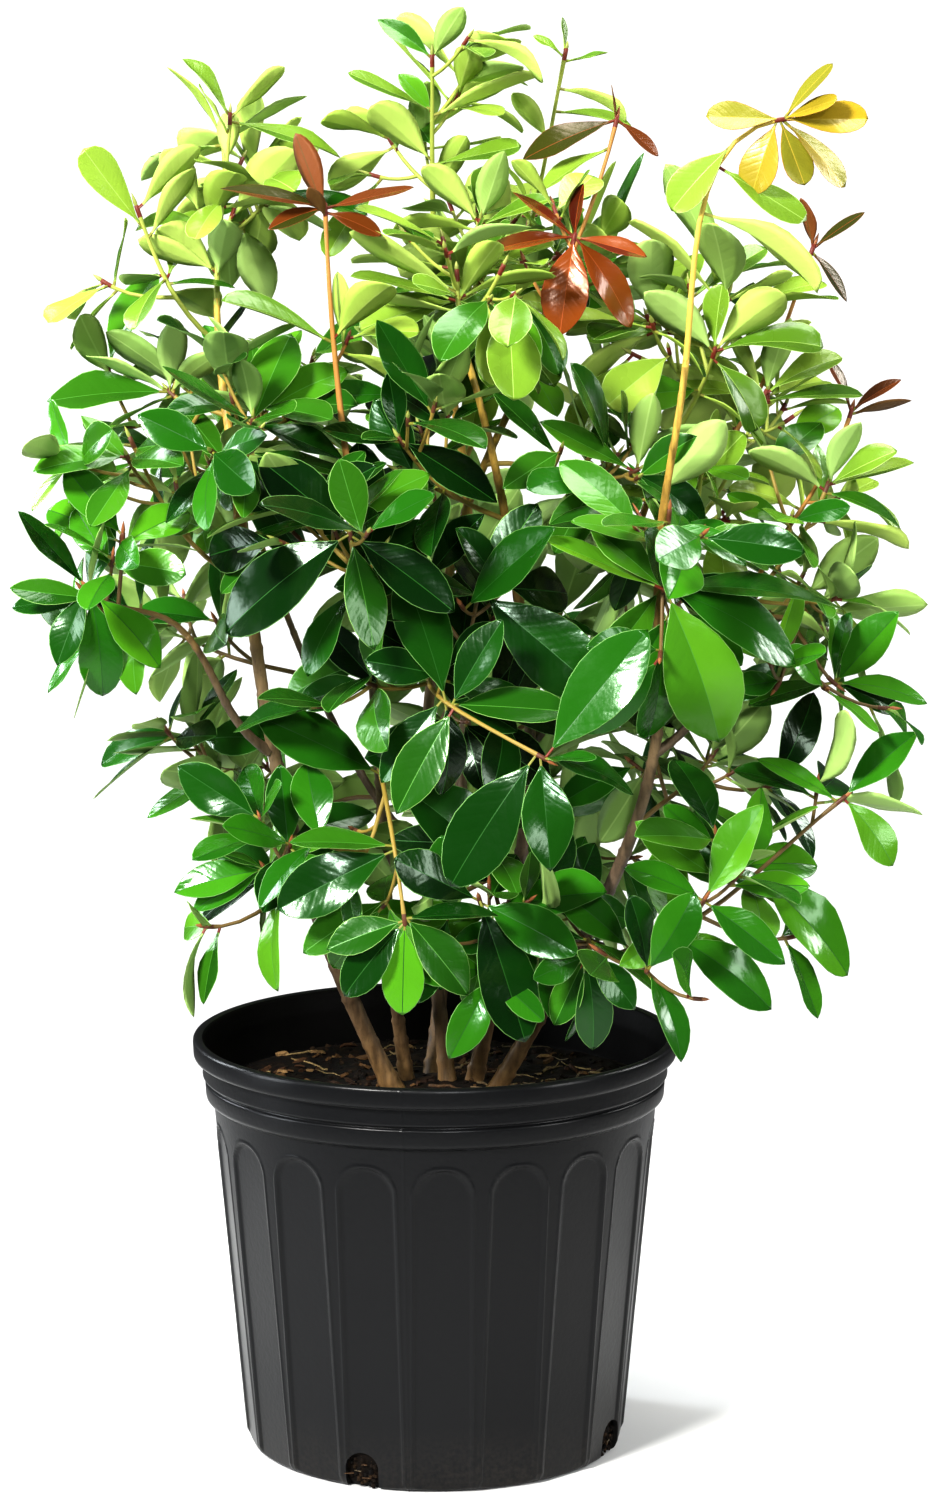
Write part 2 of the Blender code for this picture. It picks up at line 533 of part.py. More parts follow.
class Run:
    """A smooth tapering run from one place and heading to another."""

    def __init__(self, start, leave, end, aim, radii, shares):
        handle = (end - start).length * CURVE_HANDLE
        self.controls = (start, start + leave * handle, end - aim * handle, end)
        self.radii = radii
        self.points = [self.place(share) for share in shares]
        self.widths = [self.radius(share) for share in shares]

    def place(self, t):
        a, b, c, d = self.controls
        u = 1 - t
        return a * u**3 + b * (3 * u * u * t) + c * (3 * u * t * t) + d * t**3

    def heading(self, t):
        a, b, c, d = self.controls
        u = 1 - t
        slope = (b - a) * (u * u) + (c - b) * (2 * u * t) + (d - c) * (t * t)
        return slope.normalized()

    def radius(self, t):
        return self.radii[0] + (self.radii[1] - self.radii[0]) * t

    def length(self):
        return sum((b - a).length for a, b in zip(self.points, self.points[1:]))


def start_on(parent, along, leave, radius):
    """Where a run leaves its parent: a gap beyond its tip, or a gap clear of its bark."""
    heading = parent.heading(along)
    if along >= 1:
        return parent.place(1) + heading * GAP, heading
    leave = leave.normalized()
    side = leave.orthogonal().normalized() * radius
    turns = [Matrix.Rotation(math.tau * turn / CAP_CORNERS, 3, leave) for turn in range(CAP_CORNERS)]
    ring = [turn @ side for turn in turns]
    start = parent.place(along) + leave * 4 * parent.radius(along)
    while min(parent.bark.find_nearest(start + corner)[3] for corner in ring) > GAP:
        start = start - leave * START_STEP
    return start, leave


def run_from(parent, along, tip, radii, leave, aim, shares):
    """The run that grows from a parent to a tip."""
    tip = Vector(tip)
    towards = (tip - parent.place(along)).normalized()
    if leave is None:
        side = towards - parent.heading(along) * towards.dot(parent.heading(along))
        leave = side.normalized() + parent.heading(along) * START_LEAN
    start, leave = start_on(parent, along, Vector(leave), radii[0])
    aim = Vector(aim).normalized() if aim else (towards + UP * TIP_LIFT).normalized()
    return Run(start, leave, tip, aim, radii, shares)


def stem_run(stem):
    foot = Vector((*STEM_FEET[stem.name], SOIL_TOP + GAP))
    return Run(foot, Vector(stem.leave).normalized(), Vector(stem.tip), Vector(stem.aim).normalized(),
               stem.radii, square_shares(STEM_STEPS))


def tube_curve(name, points, widths, profile=None):
    """A curve object along the points, round or with the given outline."""
    data = bpy.data.curves.new(name, "CURVE")
    data.dimensions = "3D"
    data.use_fill_caps = True
    data.render_resolution_u = 0
    if profile:
        data.bevel_mode = "OBJECT"
        data.bevel_object = profile
    else:
        data.bevel_depth = 1.0
        data.bevel_resolution = 1
    spline = data.splines.new("POLY")
    spline.points.add(len(points) - 1)
    for knot, point, width in zip(spline.points, points, widths):
        knot.co = (*point, 1.0)
        knot.radius = width
    return data


def tube_mesh(name, points, widths, profile=None):
    """The closed mesh of such a curve, its caps welded on."""
    data = tube_curve(name, points, widths, profile)
    thing = add_object(name, data, bpy.context.scene.collection)
    mesh = evaluated_mesh(thing)
    bpy.data.objects.remove(thing)
    bpy.data.curves.remove(data)
    shape = bmesh.new()
    shape.from_mesh(mesh)
    bmesh.ops.remove_doubles(shape, verts=shape.verts, dist=0.00001)
    bmesh.ops.recalc_face_normals(shape, faces=shape.faces)
    shape.to_mesh(mesh)
    shape.free()
    return mesh


def mesh_tree(mesh):
    """The mesh as a tree that finds its nearest place."""
    points = [vertex.co for vertex in mesh.vertices]
    return BVHTree.FromPolygons(points, [polygon.vertices for polygon in mesh.polygons])


def flared_foot(run):
    """Points and widths of a stem that starts under its cut and swells at the foot."""
    below = run.place(0) - run.heading(0) * FOOT_BELOW_CUT
    points = [below]
    widths = [run.radii[0] * (1 + FLARE)]
    for share in sorted([*square_shares(STEM_STEPS), END_SHARE / 3]):
        height = run.place(share).z - SOIL_TOP
        points.append(run.place(share))
        widths.append(run.radius(share) * (1 + FLARE * math.exp(-height / FLARE_HEIGHT)))
    return points, widths


def cut_level(mesh, height):
    """Cuts a closed mesh off flat at a height and closes it there."""
    shape = bmesh.new()
    shape.from_mesh(mesh)
    everything = shape.verts[:] + shape.edges[:] + shape.faces[:]
    bmesh.ops.bisect_plane(shape, geom=everything, plane_co=(0, 0, height), plane_no=(0, 0, 1),
                           clear_inner=True)
    rim = [edge for edge in shape.edges if edge.is_boundary]
    bmesh.ops.contextual_create(shape, geom=rim)
    bmesh.ops.recalc_face_normals(shape, faces=shape.faces)
    shape.to_mesh(mesh)
    shape.free()


def build_limbs(collection):
    """Every stem and bough, as objects, and their runs by name."""
    runs = {}
    for stem in STEMS:
        run = stem_run(stem)
        points, widths = flared_foot(run)
        mesh = tube_mesh(stem.name, points, widths)
        cut_level(mesh, SOIL_TOP + GAP)
        add_object(stem.name, mesh, collection, "bark")
        run.bark = mesh_tree(mesh)
        runs[stem.name] = run
    for bough in BOUGHS:
        run = run_from(runs[bough.parent], bough.along, bough.tip, bough.radii, bough.leave,
                       bough.aim, square_shares(BOUGH_STEPS))
        mesh = tube_mesh(bough.name, run.points, run.widths)
        add_object(bough.name, mesh, collection, "young_bark")
        run.bark = mesh_tree(mesh)
        runs[bough.name] = run
    return runs


# What a new twig or leaf must stay clear of

class Surroundings:
    """Shapes already placed, each with the mass that owns it."""

    def __init__(self):
        self.shapes = []

    def add(self, points, faces, owner):
        low = Vector(map(min, zip(*points)))
        high = Vector(map(max, zip(*points)))
        self.shapes.append((low, high, BVHTree.FromPolygons(points, faces), owner))

    def touched(self, points, faces, owner, own):
        """Whether a shape touches one of its own mass (own) or of the others."""
        low = Vector(map(min, zip(*points)))
        high = Vector(map(max, zip(*points)))
        tree = None
        for other_low, other_high, other_tree, other_owner in self.shapes:
            if (other_owner == owner) != own:
                continue
            if any(low[i] > other_high[i] or high[i] < other_low[i] for i in range(3)):
                continue
            tree = tree or BVHTree.FromPolygons(points, faces)
            if tree.overlap(other_tree):
                return True
        return False


def guard_tube(run, first=0.0):
    """A six-sided tube round a run, its clearance included, from a share of its length."""
    steps = max(3, len(run.points) - 1)
    points = []
    faces = []
    for step in range(steps + 1):
        t = first + (1 - first) * step / steps
        heading = run.heading(t)
        side = heading.orthogonal().normalized()
        across = heading.cross(side)
        radius = (run.radius(t) + CLEARANCE) / math.cos(math.pi / 6)
        for corner in range(6):
            angle = math.tau * corner / 6
            points.append(run.place(t) + (side * math.cos(angle) + across * math.sin(angle)) * radius)
    for step in range(steps):
        for corner in range(6):
            a = 6 * step + corner
            b = 6 * step + (corner + 1) % 6
            faces.append((a, b, b + 6, a + 6))
    return points, faces


# Leaves

@dataclass
class Leaf:
    root: Vector
    along: Vector
    up: Vector
    length: float
    width: float


LEAF_FACES = [(0, 3, 2), (2, 3, 4), (0, 2, 1), (0, 1, 3), (1, 2, 4), (1, 4, 3)]


def leaf_points(leaf, extra=0.0, first=0.0):
    """Root, keel, both widest places and tip of a blade, `extra` larger all round.

    With `first`, only the blade beyond that share of its length.
    """
    side = leaf.up.cross(leaf.along).normalized()
    keel = max(LEAF_KEEL, first + LEAF_KEEL / 2)
    widest = leaf.root + leaf.along * leaf.length * LEAF_WIDEST
    lift = leaf.up * (leaf.width * LEAF_LIFT + extra)
    edge = side * (leaf.width / 2 + extra)
    return [
        leaf.root + leaf.along * leaf.length * first + leaf.up * extra,
        leaf.root + leaf.along * leaf.length * keel - leaf.up * (leaf.length * LEAF_DEPTH + extra),
        widest - edge + lift,
        widest + edge + lift,
        leaf.root + leaf.along * (leaf.length + extra),
    ]


def make_leaf(run, t, along, up, length):
    """A leaf rooted on the axis of its twig."""
    along = along.normalized()
    up = (up - along * up.dot(along)).normalized()
    return Leaf(run.place(t) - along * LEAF_SINK, along, up, length, length * LEAF_WIDTH)


def ring_leaf(run, t, turn, spread, droop, roll, length):
    """A leaf that leaves its twig at a turn about it and a spread from its heading.

    Low leaves turn their upper sides outwards, and those of the high shoots upwards.
    """
    heading = run.heading(t)
    side = (Vector((1, 0, 0)) - heading * heading.x).normalized()
    back = heading.cross(side)
    outward = side * math.cos(turn) + back * math.sin(turn)
    along = heading * math.cos(spread) + outward * math.sin(spread) - UP * droop
    along.normalize()
    place = run.place(t)
    outside = Vector((place.x, place.y, 0)).normalized()
    low, high = SHOOT_HEIGHTS
    shoot = min(1, max(0, (place.z - low) / (high - low)))
    light = UP * LIGHT_ABOVE + outside * LIGHT_OUTWARD * (1 - shoot) + heading * LIGHT_ALONG
    up = Matrix.Rotation(roll, 3, along) @ (light - along * light.dot(along))
    return make_leaf(run, t, along, up, length)


def shown_leaf(run, t, heading, lean, length, facing):
    """A leaf told by how it looks from the front: heading, lean towards it and facing."""
    heading, lean, facing = map(math.radians, (heading, lean, facing))
    along = Vector((math.cos(heading), 0, math.sin(heading))) * math.cos(lean) + FRONT * math.sin(lean)
    above = (UP - along * along.z).normalized()
    before = (FRONT - along * FRONT.dot(along)).normalized()
    return make_leaf(run, t, along, above * math.cos(facing) + before * math.sin(facing), length)


def view_guard(leaf):
    """Sheets before a leaf that is told apart: nothing that is seeded grows across them."""
    root, keel, left, right, tip = leaf_points(leaf)
    outline = [root, left, tip, right]
    middle = sum(outline, Vector()) / len(outline)
    inner = [middle + (point - middle) * VIEW_SHARE for point in outline]
    points = []
    for share in even_shares(VIEW_SHEETS - 1):
        away = FRONT * (VIEW_START + (VIEW_ROOM - VIEW_START) * share)
        points += [point + away for point in inner]
    sheets = [tuple(range(4 * sheet, 4 * sheet + 4)) for sheet in range(VIEW_SHEETS)]
    last = 4 * (VIEW_SHEETS - 1)
    walls = [(corner, (corner + 1) % 4, last + (corner + 1) % 4, last + corner) for corner in range(4)]
    return points, [*sheets, *walls, (0, 2, last + 2, last)]


class Growth:
    """Grows one mass: its twigs and leaves, each kept only where there is room."""

    def __init__(self, mass, run, seed, surroundings, views):
        self.mass = mass
        self.run = run
        self.random = random.Random(seed)
        self.surroundings = surroundings
        self.views = views
        self.twigs = []
        self.leaves = []

    def in_room(self, points):
        for point in points:
            if any(point[i] < CROWN_LOW[i] or point[i] > CROWN_HIGH[i] for i in range(3)):
                return False
            if min((point - knot).length for knot in self.run.points) > MASS_ROOM:
                return False
        return True

    def has_room(self, leaf):
        whole = leaf_points(leaf, CLEARANCE)
        if not self.in_room(whole):
            return False
        if self.surroundings.touched(whole, LEAF_FACES, self.mass.name, own=False):
            return False
        blade = leaf_points(leaf, CLEARANCE, BLADE_START)
        return not self.surroundings.touched(blade, LEAF_FACES, self.mass.name, own=True)

    def hides_shown(self, leaf):
        """Whether a leaf stands before one that is told apart from the front."""
        return self.views.touched(leaf_points(leaf), LEAF_FACES, self.mass.name, own=False)

    def keep(self, leaf):
        self.leaves.append(leaf)
        self.surroundings.add(leaf_points(leaf), LEAF_FACES, self.mass.name)

    def side_twig(self, index, turn):
        """The side twig of that number, at a turn about the mass's stem."""
        t = TWIG_SPACING * (1 + index) + self.random.uniform(-0.06, 0.06)
        length = self.random.uniform(*TWIG_LENGTHS)
        heading = self.run.heading(t)
        side = (Vector((1, 0, 0)) - heading * heading.x).normalized()
        outward = side * math.cos(turn) + heading.cross(side) * math.sin(turn)
        leave = (heading * 0.55 + outward).normalized()
        end = self.run.place(t) + (leave + UP * 0.25).normalized() * length
        return Run(self.run.place(t), leave, end, (leave + UP * 0.7).normalized(),
                   (SIDE_TWIG_RADIUS, TWIG_TIP_RADIUS), even_shares(TWIG_STEPS))

    def twig_has_room(self, twig):
        points, faces = guard_tube(twig)
        if not self.in_room(points):
            return False
        if self.surroundings.touched(points, faces, self.mass.name, own=False):
            return False
        points, faces = guard_tube(twig, 0.25)
        return not self.surroundings.touched(points, faces, self.mass.name, own=True)

    def side_twigs(self):
        """Twigs that leave the mass's stem by turns of the golden angle."""
        first_turn = self.random.uniform(0, math.tau)
        for index in range(self.mass.twigs):
            for attempt in range(TRIES):
                twig = self.side_twig(index, first_turn + (1.3 * index + attempt) * GOLDEN_ANGLE)
                if self.twig_has_room(twig):
                    self.twigs.append(twig)
                    self.surroundings.add(*guard_tube(twig, 0.10), self.mass.name)
                    break

    def whorl(self, run, count, whorl):
        """Leaves that leave a twig close under one place, by turns of the golden angle."""
        turn = self.random.uniform(0, math.tau)
        spacing = 1.8 * LEAF_STEP / run.length()
        for index in range(count):
            t = max(END_SHARE, whorl.place - spacing * (index + 0.6))
            for attempt in range(TRIES):
                wobble = self.random.uniform(-1, 1) * (0.15 + 0.10 * attempt)
                spread = math.radians(whorl.spread + WHORL_OPENING * index)
                leaf = ring_leaf(
                    run, t,
                    turn + index * GOLDEN_ANGLE + wobble,
                    spread + self.random.uniform(-0.22, 0.22),
                    whorl.droop + self.random.uniform(-0.10, 0.22),
                    self.random.uniform(-0.55, 0.55),
                    self.mass.leaf * whorl.size * self.random.uniform(*SIZE_RANGE) * (1 - 0.045 * attempt),
                )
                if self.has_room(leaf) and not self.hides_shown(leaf):
                    self.keep(leaf)
                    break

    def shown_leaves(self):
        """The leaves that are told apart from the front."""
        last = 1 - LEAF_STEP / self.run.length()
        for t, heading, lean, length, facing in self.mass.shown:
            for attempt in range(TRIES):
                wobble = 7 * attempt
                leaf = shown_leaf(
                    self.run, min(t, last),
                    heading + self.random.uniform(-wobble, wobble),
                    lean + self.random.uniform(-wobble, wobble),
                    length * (1 - 0.03 * attempt),
                    facing,
                )
                if self.has_room(leaf):
                    self.keep(leaf)
                    self.views.add(*view_guard(leaf), "view")
                    break

    def seeded_leaves(self):
        """Side twigs and the leaves of all whorls."""
        self.side_twigs()
        self.whorl(self.run, self.mass.crown, CROWN_WHORL)
        for twig in self.twigs:
            self.whorl(twig, TWIG_LEAVES, TWIG_WHORL)
        self.whorl(self.run, self.mass.lower, LOWER_WHORL)


def fused(name, stem, parts, solver):
    """One Boolean union of the stem with a collection of parts, applied."""
    temporary = new_collection(name + "_parts")
    for index, mesh in enumerate(parts):
        add_object(f"{name}_{index}", mesh, temporary)
    base = add_object(name + "_stem", stem, bpy.context.scene.collection)
    union = base.modifiers.new("Fuse", "BOOLEAN")
    union.operation = "UNION"
    union.operand_type = "COLLECTION"
    union.collection = temporary
    union.solver = solver
    mesh = evaluated_mesh(base)
    for thing in [base, *temporary.objects]:
        bpy.data.objects.remove(thing)
    bpy.data.collections.remove(temporary)
    return mesh


def keep_largest_body(mesh):
    """Drops loose scraps and sealed hollows, and tells whether the rest is closed."""
    shape = bmesh.new()
    shape.from_mesh(mesh)
    shape.verts.ensure_lookup_table()
    bodies = []
    seen = set()
    for first in shape.verts:
        if first in seen:
            continue
        body = [first]
        seen.add(first)
        for vertex in body:
            for edge in vertex.link_edges:
                other = edge.other_vert(vertex)
                if other not in seen:
                    seen.add(other)
                    body.append(other)
        bodies.append(body)
    largest = max(bodies, key=len)
    for body in bodies:
        if body is not largest:
            bmesh.ops.delete(shape, geom=body, context="VERTS")
    closed = all(edge.is_manifold for edge in shape.edges)
    shape.to_mesh(mesh)
    shape.free()
    return closed


def build_mass(growth, outline, collection):
    """The mass as one closed body."""
    name = growth.mass.name
    stem = tube_mesh(name, growth.run.points, growth.run.widths, outline)
    twigs = [tube_mesh(name, twig.points, twig.widths, outline) for twig in growth.twigs]
    blades = [mesh_from(name, leaf_points(leaf), LEAF_FACES) for leaf in growth.leaves]
    parts = twigs + blades
    mesh = fused(name, stem.copy(), [part.copy() for part in parts], "EXACT")
    if not keep_largest_body(mesh):
        mesh = fused(name, stem.copy(), [part.copy() for part in parts], "MANIFOLD")
        keep_largest_body(mesh)
    add_object(name, mesh, collection, growth.mass.tint)


def twig_outline():
    """A three-sided outline of unit radius for the twigs."""
    data = bpy.data.curves.new("twig_outline", "CURVE")
    data.dimensions = "2D"
    spline = data.splines.new("POLY")
    spline.points.add(2)
    for index, knot in enumerate(spline.points):
        angle = math.tau * index / 3
        knot.co = (math.cos(angle), math.sin(angle), 0, 1)
    spline.use_cyclic_u = True
    return add_object("twig_outline", data, bpy.context.scene.collection)


def build_masses(runs, collection):
    """Grows every mass clear of the limbs and of one another."""
    surroundings = Surroundings()
    for name, run in runs.items():
        surroundings.add(*guard_tube(run), name)
    stems = []
    for mass in MASSES:
        limb = runs[mass.limb]
        start_radius = limb.radius(1) if mass.along >= 1 else MASS_STEM_RADIUS
        run = run_from(limb, mass.along, mass.tip, (start_radius, TWIG_TIP_RADIUS), mass.leave,
                       mass.aim, square_shares(MASS_STEM_STEPS))
        surroundings.add(*guard_tube(run), mass.name)
        stems.append(run)
    views = Surroundings()
    growths = [Growth(mass, run, seed, surroundings, views)
               for seed, (mass, run) in enumerate(zip(MASSES, stems))]
    for growth in growths:
        growth.shown_leaves()
    outline = twig_outline()
    for growth in growths:
        growth.seeded_leaves()
        build_mass(growth, outline, collection)
    bpy.data.objects.remove(outline)
    return growths


def main():
    clear_scene()
    plant = new_collection("potted_cleyera")
    cutters = new_collection("cutters")
    runs = build_limbs(plant)
    growths = build_masses(runs, plant)
    build_pot(plant, cutters)
    build_soil(plant)
    print("leaves", sum(len(growth.leaves) for growth in growths))


main()
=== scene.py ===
"""Looks of the potted cleyera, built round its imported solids.

The frame is the solids' own: metres, +Z up, the origin under the middle of the pot and -Y
the front. The masses of leaves grow by the same seeded rule as the solids and are carried
on to finer twigs. Every piece rides on the one body, "root".
"""
import json
import math
import random
from dataclasses import dataclass

import bmesh
import bpy
import numpy as np
from mathutils import Matrix, Vector, noise
from mathutils.bvhtree import BVHTree

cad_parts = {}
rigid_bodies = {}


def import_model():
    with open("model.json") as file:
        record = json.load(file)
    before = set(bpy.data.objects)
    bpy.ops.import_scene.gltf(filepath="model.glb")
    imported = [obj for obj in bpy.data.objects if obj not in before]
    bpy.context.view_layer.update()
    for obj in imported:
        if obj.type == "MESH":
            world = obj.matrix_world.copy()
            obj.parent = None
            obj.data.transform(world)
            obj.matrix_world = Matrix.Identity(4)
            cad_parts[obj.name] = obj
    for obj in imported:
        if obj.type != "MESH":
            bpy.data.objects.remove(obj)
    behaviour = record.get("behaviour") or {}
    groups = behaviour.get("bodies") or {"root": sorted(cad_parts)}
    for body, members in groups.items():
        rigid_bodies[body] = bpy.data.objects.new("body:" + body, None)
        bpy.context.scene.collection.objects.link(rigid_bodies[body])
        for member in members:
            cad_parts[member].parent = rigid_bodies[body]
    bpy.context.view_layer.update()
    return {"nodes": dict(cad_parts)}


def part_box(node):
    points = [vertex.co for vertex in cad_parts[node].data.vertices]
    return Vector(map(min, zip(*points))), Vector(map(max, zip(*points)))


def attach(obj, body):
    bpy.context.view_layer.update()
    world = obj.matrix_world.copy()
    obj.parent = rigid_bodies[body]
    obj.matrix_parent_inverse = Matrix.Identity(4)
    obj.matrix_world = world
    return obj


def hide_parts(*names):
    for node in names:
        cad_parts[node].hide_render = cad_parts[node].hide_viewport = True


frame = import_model()

# The camera, fitted to the pot's rim and foot in the photograph
CAMERA_PLACE = (0.0202, -2.585, 0.833)
CAMERA_PITCH = 0.16344
CAMERA_LENS = 109.85
SENSOR_HEIGHT = 36.0

# How the picture is shown: a little more contrast than plain, as in a studio's own print
SHOWN_EXPOSURE = 0.25
SHOWN_GAMMA = 0.84

# Driving dimensions of the pot, as in the solids
POT_HEIGHT = 0.241
RIM_RADIUS = 0.140
RIM_HEIGHT = 0.012
RIM_INNER_RADIUS = 0.134
UPPER_BAND_RADIUS = 0.1345
LOWER_BAND_RADIUS = 0.133
GROOVE_RADIUS = 0.1315
BAND_HEIGHT = 0.011
GROOVE_HEIGHT = 0.002
WALL_TOP = 0.203
WALL_TOP_RADIUS = 0.128
BASE_RADIUS = 0.110
BASE_ROUNDING = 0.006
WALL_THICKNESS = 0.003
PANEL_COUNT = 18
PANEL_ANGLE = math.radians(16)
PANEL_ARCH_TOP = 0.192
PANEL_EDGE_DEPTH = 0.0011
PANEL_EDGE_WIDTH = 0.0016
PANEL_TURN = math.radians(-87.5)
DRAIN_COUNT = 4
DRAIN_WIDTH = 0.019
DRAIN_TOP = 0.022
DRAIN_TURN = math.radians(-112)
SEAM_TURN = math.radians(-97.5)
SEAM_HEIGHT = 0.00022
SOIL_TOP = 0.206

# Wood, as in the solids
GAP = 0.0003
START_STEP = 0.00005
STEM_STEPS = 9
BOUGH_STEPS = 7
MASS_STEM_STEPS = 5
TWIG_STEPS = 2
CURVE_HANDLE = 0.38
END_SHARE = 0.05
START_LEAN = 0.7
TIP_LIFT = 0.6
FLARE = 0.45
FLARE_HEIGHT = 0.014
CAP_CORNERS = 8
MASS_STEM_RADIUS = 0.00156
TWIG_TIP_RADIUS = 0.0010
SIDE_TWIG_RADIUS = 0.0013
TWIG_LENGTHS = (0.036, 0.056)
TWIG_SPACING = 0.34
TWIG_JITTER = 0.06
TWIG_TURNS = 1.3

# How a twig leaves: its share of its stem's heading, its rise and the lift of its tip
TWIG_BEARING = (0.55, 0.25, 0.7)
FINE_TWIG_BEARING = (0.6, 0.3, 0.6)

# Leaves, as in the solids
LEAF_WIDEST = 0.60
LEAF_WIDTH = 0.51
LEAF_KEEL = 0.06
LEAF_DEPTH = 0.020
LEAF_LIFT = 0.055
LEAF_SINK = 0.0004
LEAF_STEP = 0.0015
BLADE_START = 0.18
TRIES = 8
LIGHT_ABOVE = 0.5
LIGHT_OUTWARD = 0.7
LIGHT_ALONG = 0.3
SHOOT_HEIGHTS = (0.52, 0.66)
VIEW_START = 0.004
VIEW_ROOM = 0.100
VIEW_SHEETS = 5
VIEW_SHARE = 0.75
CROWN_LOW = Vector((-0.236, -0.245, 0.252))
CROWN_HIGH = Vector((0.286, 0.240, 0.829))
MASS_ROOM = 0.125
CLEARANCE = 0.0005
GUARD_SIDES = 6
FIRST_ROOM = 512

# The shares of a twig's length from which it is tested against its own mass, and from which
# what comes later stays clear of it
TWIG_TEST_START = 0.25
TWIG_KEPT_START = 0.10
FINE_TEST_START = 0.30
FINE_KEPT_START = 0.20

# The finer leaf: its blade is narrower than the solids' kite and fuller towards its ends
BLADE_WIDTH = 0.435
BREADTHS = (0.90, 1.10)
PETIOLE_SHARE = 0.09
PETIOLE_RADIUS = 0.0007
BASE_POWER = 1.05
TIP_POWERS = (0.72, 0.95)
ROUND_BASE_POWER = 1.22
ROUND_TIP_POWERS = (0.54, 0.74)
REACH_SLACK = 0.002
BLADE_THICKNESS = 0.00036
MARGIN_WIDTH = 0.00042
MIDRIB_WIDTH = 0.00024
UNDER_RIB_WIDTH = 0.00050
LEAF_STATIONS = (0.0, 0.05, 0.09, 0.15, 0.24, 0.35, 0.47, 0.59, 0.70, 0.80, 0.89, 0.955)
RING_POINTS = 12
PIECE_LEAVES = 640

GOLDEN_ANGLE = math.radians(137.5)
EAST = Vector((1, 0, 0))
UP = Vector((0, 0, 1))
FRONT = Vector((0, -1, 0))


@dataclass
class Whorl:
    """Leaves close under one place of a twig: its share of the twig, the size of its leaves
    in shares of the mass's leaf, their spread from the twig in degrees and their droop.
    """
    place: float
    size: float
    spread: float
    droop: float


CROWN_WHORL = Whorl(1.0, 1.0, 48, 0.10)
TWIG_WHORL = Whorl(1.0, 0.90, 50, 0.15)
LOWER_WHORL = Whorl(0.56, 1.05, 62, 0.25)
TWIG_LEAVES = 4
WHORL_OPENING = 5
WHORL_SPACING = 1.8
SIZE_RANGE = (0.80, 1.12)
SPREAD_RANGE = (-0.22, 0.22)
DROOP_RANGE = (-0.10, 0.22)
ROLL_RANGE = (-0.55, 0.55)

# What each further try at a place changes: the wobble it may have and the size of the leaf
WOBBLE = 0.15
WOBBLE_MORE = 0.10
SIZE_LESS = 0.045
SHOWN_WOBBLE = 7
SHOWN_LESS = 0.03


@dataclass
class Limb:
    """One tapering stem or bough. `tip` is where it ends, and `aim` its heading there."""
    name: str
    parent: str
    along: float
    tip: tuple
    radii: tuple
    leave: tuple = None
    aim: tuple = None


@dataclass
class Mass:
    """One mass of leaves on its own stem, from a limb to `tip`.

    `leaf` is the length of its leaves, `crown` the seeded leaves of its end whorl, `lower`
    those of its second whorl and `twigs` its side twigs. `shown` lists leaves that are told
    apart from the front, each by its share of the stem, its heading in the front view, its
    lean towards the front, its length and how far its upper side faces the front.
    """
    name: str
    limb: str
    along: float
    tip: tuple
    tint: str = "dark"
    leaf: float = 0.060
    crown: int = 5
    lower: int = 3
    twigs: int = 2
    leave: tuple = None
    aim: tuple = None
    shown: tuple = ()


# Where each stem leaves the soil
STEM_FEET = {
    "stem_left": (-0.022, -0.012),
    "stem_left_inner": (-0.016, 0.012),
    "stem_centre": (0.008, 0.001),
    "stem_right_inner": (0.022, 0.009),
    "stem_right": (0.034, -0.008),
    "stem_back": (-0.002, 0.031),
}

STEMS = [
    Limb("stem_left", None, 0, (-0.108, -0.045, 0.547), (0.0050, 0.0030),
         (-0.48, -0.14, 1), (-0.10, 0.05, 1)),
    Limb("stem_left_inner", None, 0, (-0.040, -0.092, 0.525), (0.0038, 0.0024),
         (-0.14, -0.26, 1), (-0.12, -0.15, 1)),
    Limb("stem_centre", None, 0, (0.010, -0.030, 0.520), (0.0043, 0.0025),
         (-0.12, 0.14, 1), (0.22, -0.25, 1)),
    Limb("stem_right_inner", None, 0, (0.047, -0.064, 0.505), (0.0044, 0.0026),
         (0.20, -0.12, 1), (-0.16, -0.18, 1)),
    Limb("stem_right", None, 0, (0.124, -0.100, 0.493), (0.0046, 0.0026),
         (0.50, -0.34, 1), (-0.10, -0.30, 1)),
    Limb("stem_back", None, 0, (0.020, 0.100, 0.500), (0.0044, 0.0028),
         (0.10, 0.36, 1), (0.0, 0.02, 1)),
]

